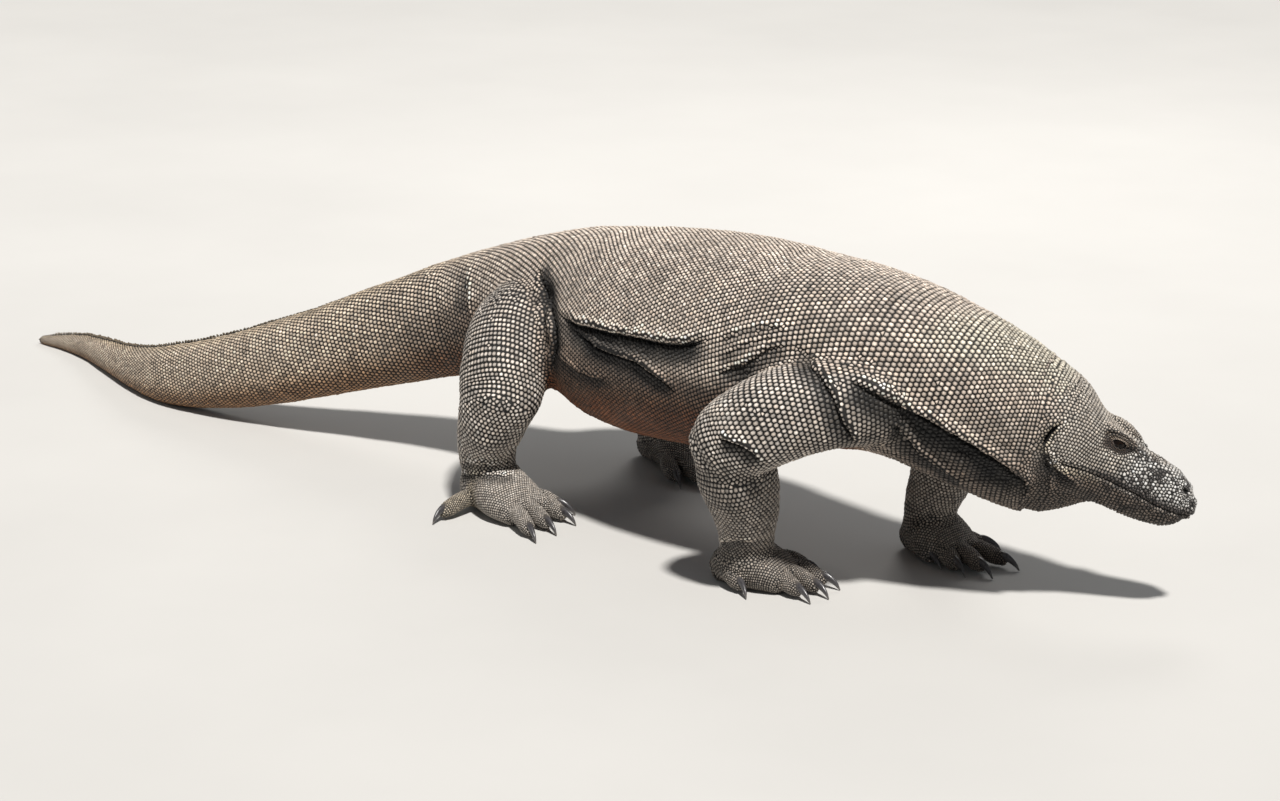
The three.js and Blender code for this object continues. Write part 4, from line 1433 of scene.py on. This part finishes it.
# ---- eyes: a wet ball with a low cornea, iris and pupil ----
def ball_grid(rows, around):
    """Angle from the pole, turn and triangles of a ball with a point at each pole."""
    polar = np.linspace(0, math.pi, rows + 1)[1:-1]
    turn = np.arange(around) / around * 2 * math.pi
    pa, ta = (g.ravel() for g in np.meshgrid(polar, turn, indexing="ij"))
    pa, ta = np.concatenate([[0], pa, [math.pi]]), np.concatenate([[0], ta, [0]])
    grid = 1 + np.arange((rows - 1) * around).reshape(rows - 1, around)
    nxt = np.roll(grid, -1, axis=1)
    tris = [np.stack([grid[:-1], grid[1:], nxt[1:]], 2).reshape(-1, 3)]
    tris += [np.stack([grid[:-1], nxt[1:], nxt[:-1]], 2).reshape(-1, 3)]
    first, last = np.zeros(around, int), np.full(around, len(pa) - 1)
    tris += columns((first, grid[0], nxt[0]), (grid[-1], last, nxt[-1]))
    return pa, ta, np.vstack(tris)


def iris_paint(pa, ta):
    rad = EYE_RADIUS * np.sin(np.minimum(pa, math.pi / 2))
    ray = 0.5 + 0.5 * np.sin(ta * 23 + 2.0 * np.sin(ta * 7))
    c = mix(np.tile(rgb(22, 14, 9), (len(pa), 1)), rgb(11, 7, 5), ray * 0.7)
    c = mix(c, rgb(42, 26, 14), bump((rad - 2.9) / 0.7) * 0.5)
    c = mix(c, rgb(6, 5, 5), smooth((2.55 - rad) / 0.35))
    c = mix(c, rgb(20, 14, 12), smooth((rad - 5.2) / 0.8))
    return mix(c, rgb(18, 13, 11), smooth((rad - 6.6) / 1.6))


def build_eye(name, side):
    across, up, out = eye_coords(np.zeros((1, 3)), side)[3]
    lean = unit(out + 0.10 * across)
    v1 = unit(np.cross(lean, up))
    v2 = np.cross(lean, v1)
    pa, ta, tris = ball_grid(56, 72)
    r = EYE_RADIUS - 0.35 + 0.30 * bump(pa / 0.42)
    ring = np.cos(ta)[:, None] * v1 + np.sin(ta)[:, None] * v2
    ball = r[:, None] * (np.cos(pa)[:, None] * lean + np.sin(pa)[:, None] * ring)
    points = from_head(eye_spot(side) + ball)
    a, b, c = (points[tris[:, k]] for k in range(3))
    if (np.cross(b - a, c - a) * (a - from_head(eye_spot(side)))).sum() < 0:
        tris = tris[:, ::-1]
    return new_object(name, points, tris, iris_paint(pa, ta), wet)


wet = eye_material()
for name, node, side in (("eyeball_right", "eye_right", -1), ("eyeball_left", "eye_left", 1)):
    ball = build_eye(name, side)
    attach(ball, "root")
    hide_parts(node)


# ---- claws: curved horn with a ridged back, one mesh a foot ----
def build_claw(toe, number):
    """Vertices, triangles, colours and OFBake places of one claw."""
    tube = Tube(claw_rows(toe), per_span=8, power=2.1)
    rows, around = len(tube.c), 20
    k, turn = np.meshgrid(np.arange(rows), np.arange(around + 1) / around * 2 * math.pi, indexing="ij")
    q, _ = tube.surface(k.ravel().astype(float), turn.ravel())
    q = q.reshape(rows, around + 1, 3)
    along = (np.arange(rows) / (rows - 1))[:, None]
    q[:, :, 2] += bump((np.cos(turn - math.pi / 2) - 1) / 0.12) * 0.5 * (1 - along)
    grid = np.arange(rows * (around + 1)).reshape(rows, around + 1)
    a, b, c, d = grid[:-1, :-1], grid[:-1, 1:], grid[1:, 1:], grid[1:, :-1]
    tris = [np.stack([a, c, b], 2).reshape(-1, 3), np.stack([a, d, c], 2).reshape(-1, 3)]
    tip, heel = np.full(around, grid.size), np.full(around, grid.size + 1)
    tris += columns((grid[-1, :-1], tip, grid[-1, 1:]), (grid[0, :-1], grid[0, 1:], heel))
    points = np.vstack([q.reshape(-1, 3), tube.c[-1] + tube.t[-1] * 0.5, tube.c[0]])
    share = np.concatenate([np.repeat(along[:, 0], around + 1), [1, 0]])
    paint = mix(np.tile(rgb(104, 96, 84), (len(share), 1)), rgb(62, 60, 62), smooth(share / 0.45))
    paint = mix(paint, rgb(92, 88, 84), smooth((share - 0.72) / 0.28))
    spin = np.concatenate([np.tile(np.arange(around + 1) / around, rows), [0.5, 0.5]])
    places = np.stack([0.02 + 0.96 * share, (number + 0.06 + 0.88 * spin) / 5], 1)
    return points, np.vstack(tris), paint, places


def build_claws(name, toes):
    made = [build_claw(toe, number) for number, toe in enumerate(toes)]
    points, tris, paints, places = zip(*made)
    base = np.cumsum([0] + [len(v) for v in points[:-1]])
    tris = [f + start for f, start in zip(tris, base)]
    v = np.vstack(points)
    v[:, 2] = np.maximum(v[:, 2], LOWEST_CLAW)
    return new_object(name, v, np.vstack(tris), np.vstack(paints), horn, np.vstack(places))


horn = claw_material()
for leg_name, leg in LEGS.items():
    claws = build_claws(leg_name + "_claws", leg["toes"])
    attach(claws, "root")
    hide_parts(*[f"{leg_name}_claw_{k}" for k in range(1, 6)])


# ---- stage, light and camera ----
FLOOR_COLOUR = (0.54, 0.53, 0.51, 1)
FLOOR_HALF = 20
SUN_FROM = (0.44, -0.20, 0.90)
CAMERA_SPOT = (3.60633, -2.86532, 1.45)
CAMERA_AHEAD = np.array([-0.7716, 0.6361])
CAMERA_DOWN = math.radians(16)


def floor_material():
    m = Nodes("studio_floor")
    where = m.add("ShaderNodeTexCoord").outputs["Object"]
    tone = m.remap(m.noise(where, 1.4, 4.0), 0.3, 0.7, 0.97, 1.03)
    base = m.add("ShaderNodeRGB")
    base.outputs[0].default_value = FLOOR_COLOUR
    m.link(m.tint(base.outputs[0], tone), m.bsdf.inputs["Base Color"])
    m.bsdf.inputs["Roughness"].default_value = 0.85
    return m.material


def place(name, data, turn, spot=(0, 0, 0)):
    """Puts a light or a camera in the scene."""
    obj = bpy.data.objects.new(name, data)
    obj.location = spot
    obj.rotation_euler = turn.to_euler()
    scene.collection.objects.link(obj)
    return obj


def build_floor():
    mesh = bpy.data.meshes.new("floor")
    far = FLOOR_HALF
    mesh.from_pydata([(-far, -far, 0), (far, -far, 0), (far, far, 0), (-far, far, 0)], [], [(0, 1, 2, 3)])
    mesh.materials.append(floor_material())
    floor = bpy.data.objects.new("floor", mesh)
    scene.collection.objects.link(floor)
    return floor


def build_lights():
    sun = bpy.data.lights.new("key", "SUN")
    sun.energy, sun.angle, sun.color = 4.7, math.radians(5), (1.0, 0.975, 0.94)
    place("key", sun, Vector(SUN_FROM).to_track_quat("Z", "Y"))
    rim = bpy.data.lights.new("rim", "AREA")
    rim.shape = "DISK"
    rim.size, rim.energy, rim.color = 1.6, 30, (1.0, 0.98, 0.95)
    spot, aim = Vector((-1.2, 2.4, 2.6)), Vector((0.0, 0.0, 0.2))
    place("rim", rim, (aim - spot).to_track_quat("-Z", "Y"), spot)
    world = bpy.data.worlds.new("studio")
    world.use_nodes = True
    background = world.node_tree.nodes["Background"]
    background.inputs[0].default_value = (0.86, 0.90, 0.95, 1)
    background.inputs[1].default_value = 0.22
    scene.world = world


def build_camera():
    data = bpy.data.cameras.new("camera")
    data.sensor_fit = "HORIZONTAL"
    data.sensor_width, data.lens = 36.0, 90.0
    data.clip_end = 60
    flat = CAMERA_AHEAD / math.hypot(*CAMERA_AHEAD)
    look = Vector((*(flat * math.cos(CAMERA_DOWN)), -math.sin(CAMERA_DOWN)))
    return place("camera", data, look.to_track_quat("-Z", "Y"), Vector(CAMERA_SPOT + SHIFT))


scene = bpy.context.scene
build_floor()
build_lights()
scene.view_settings.view_transform = "Standard"
scene.camera = build_camera()
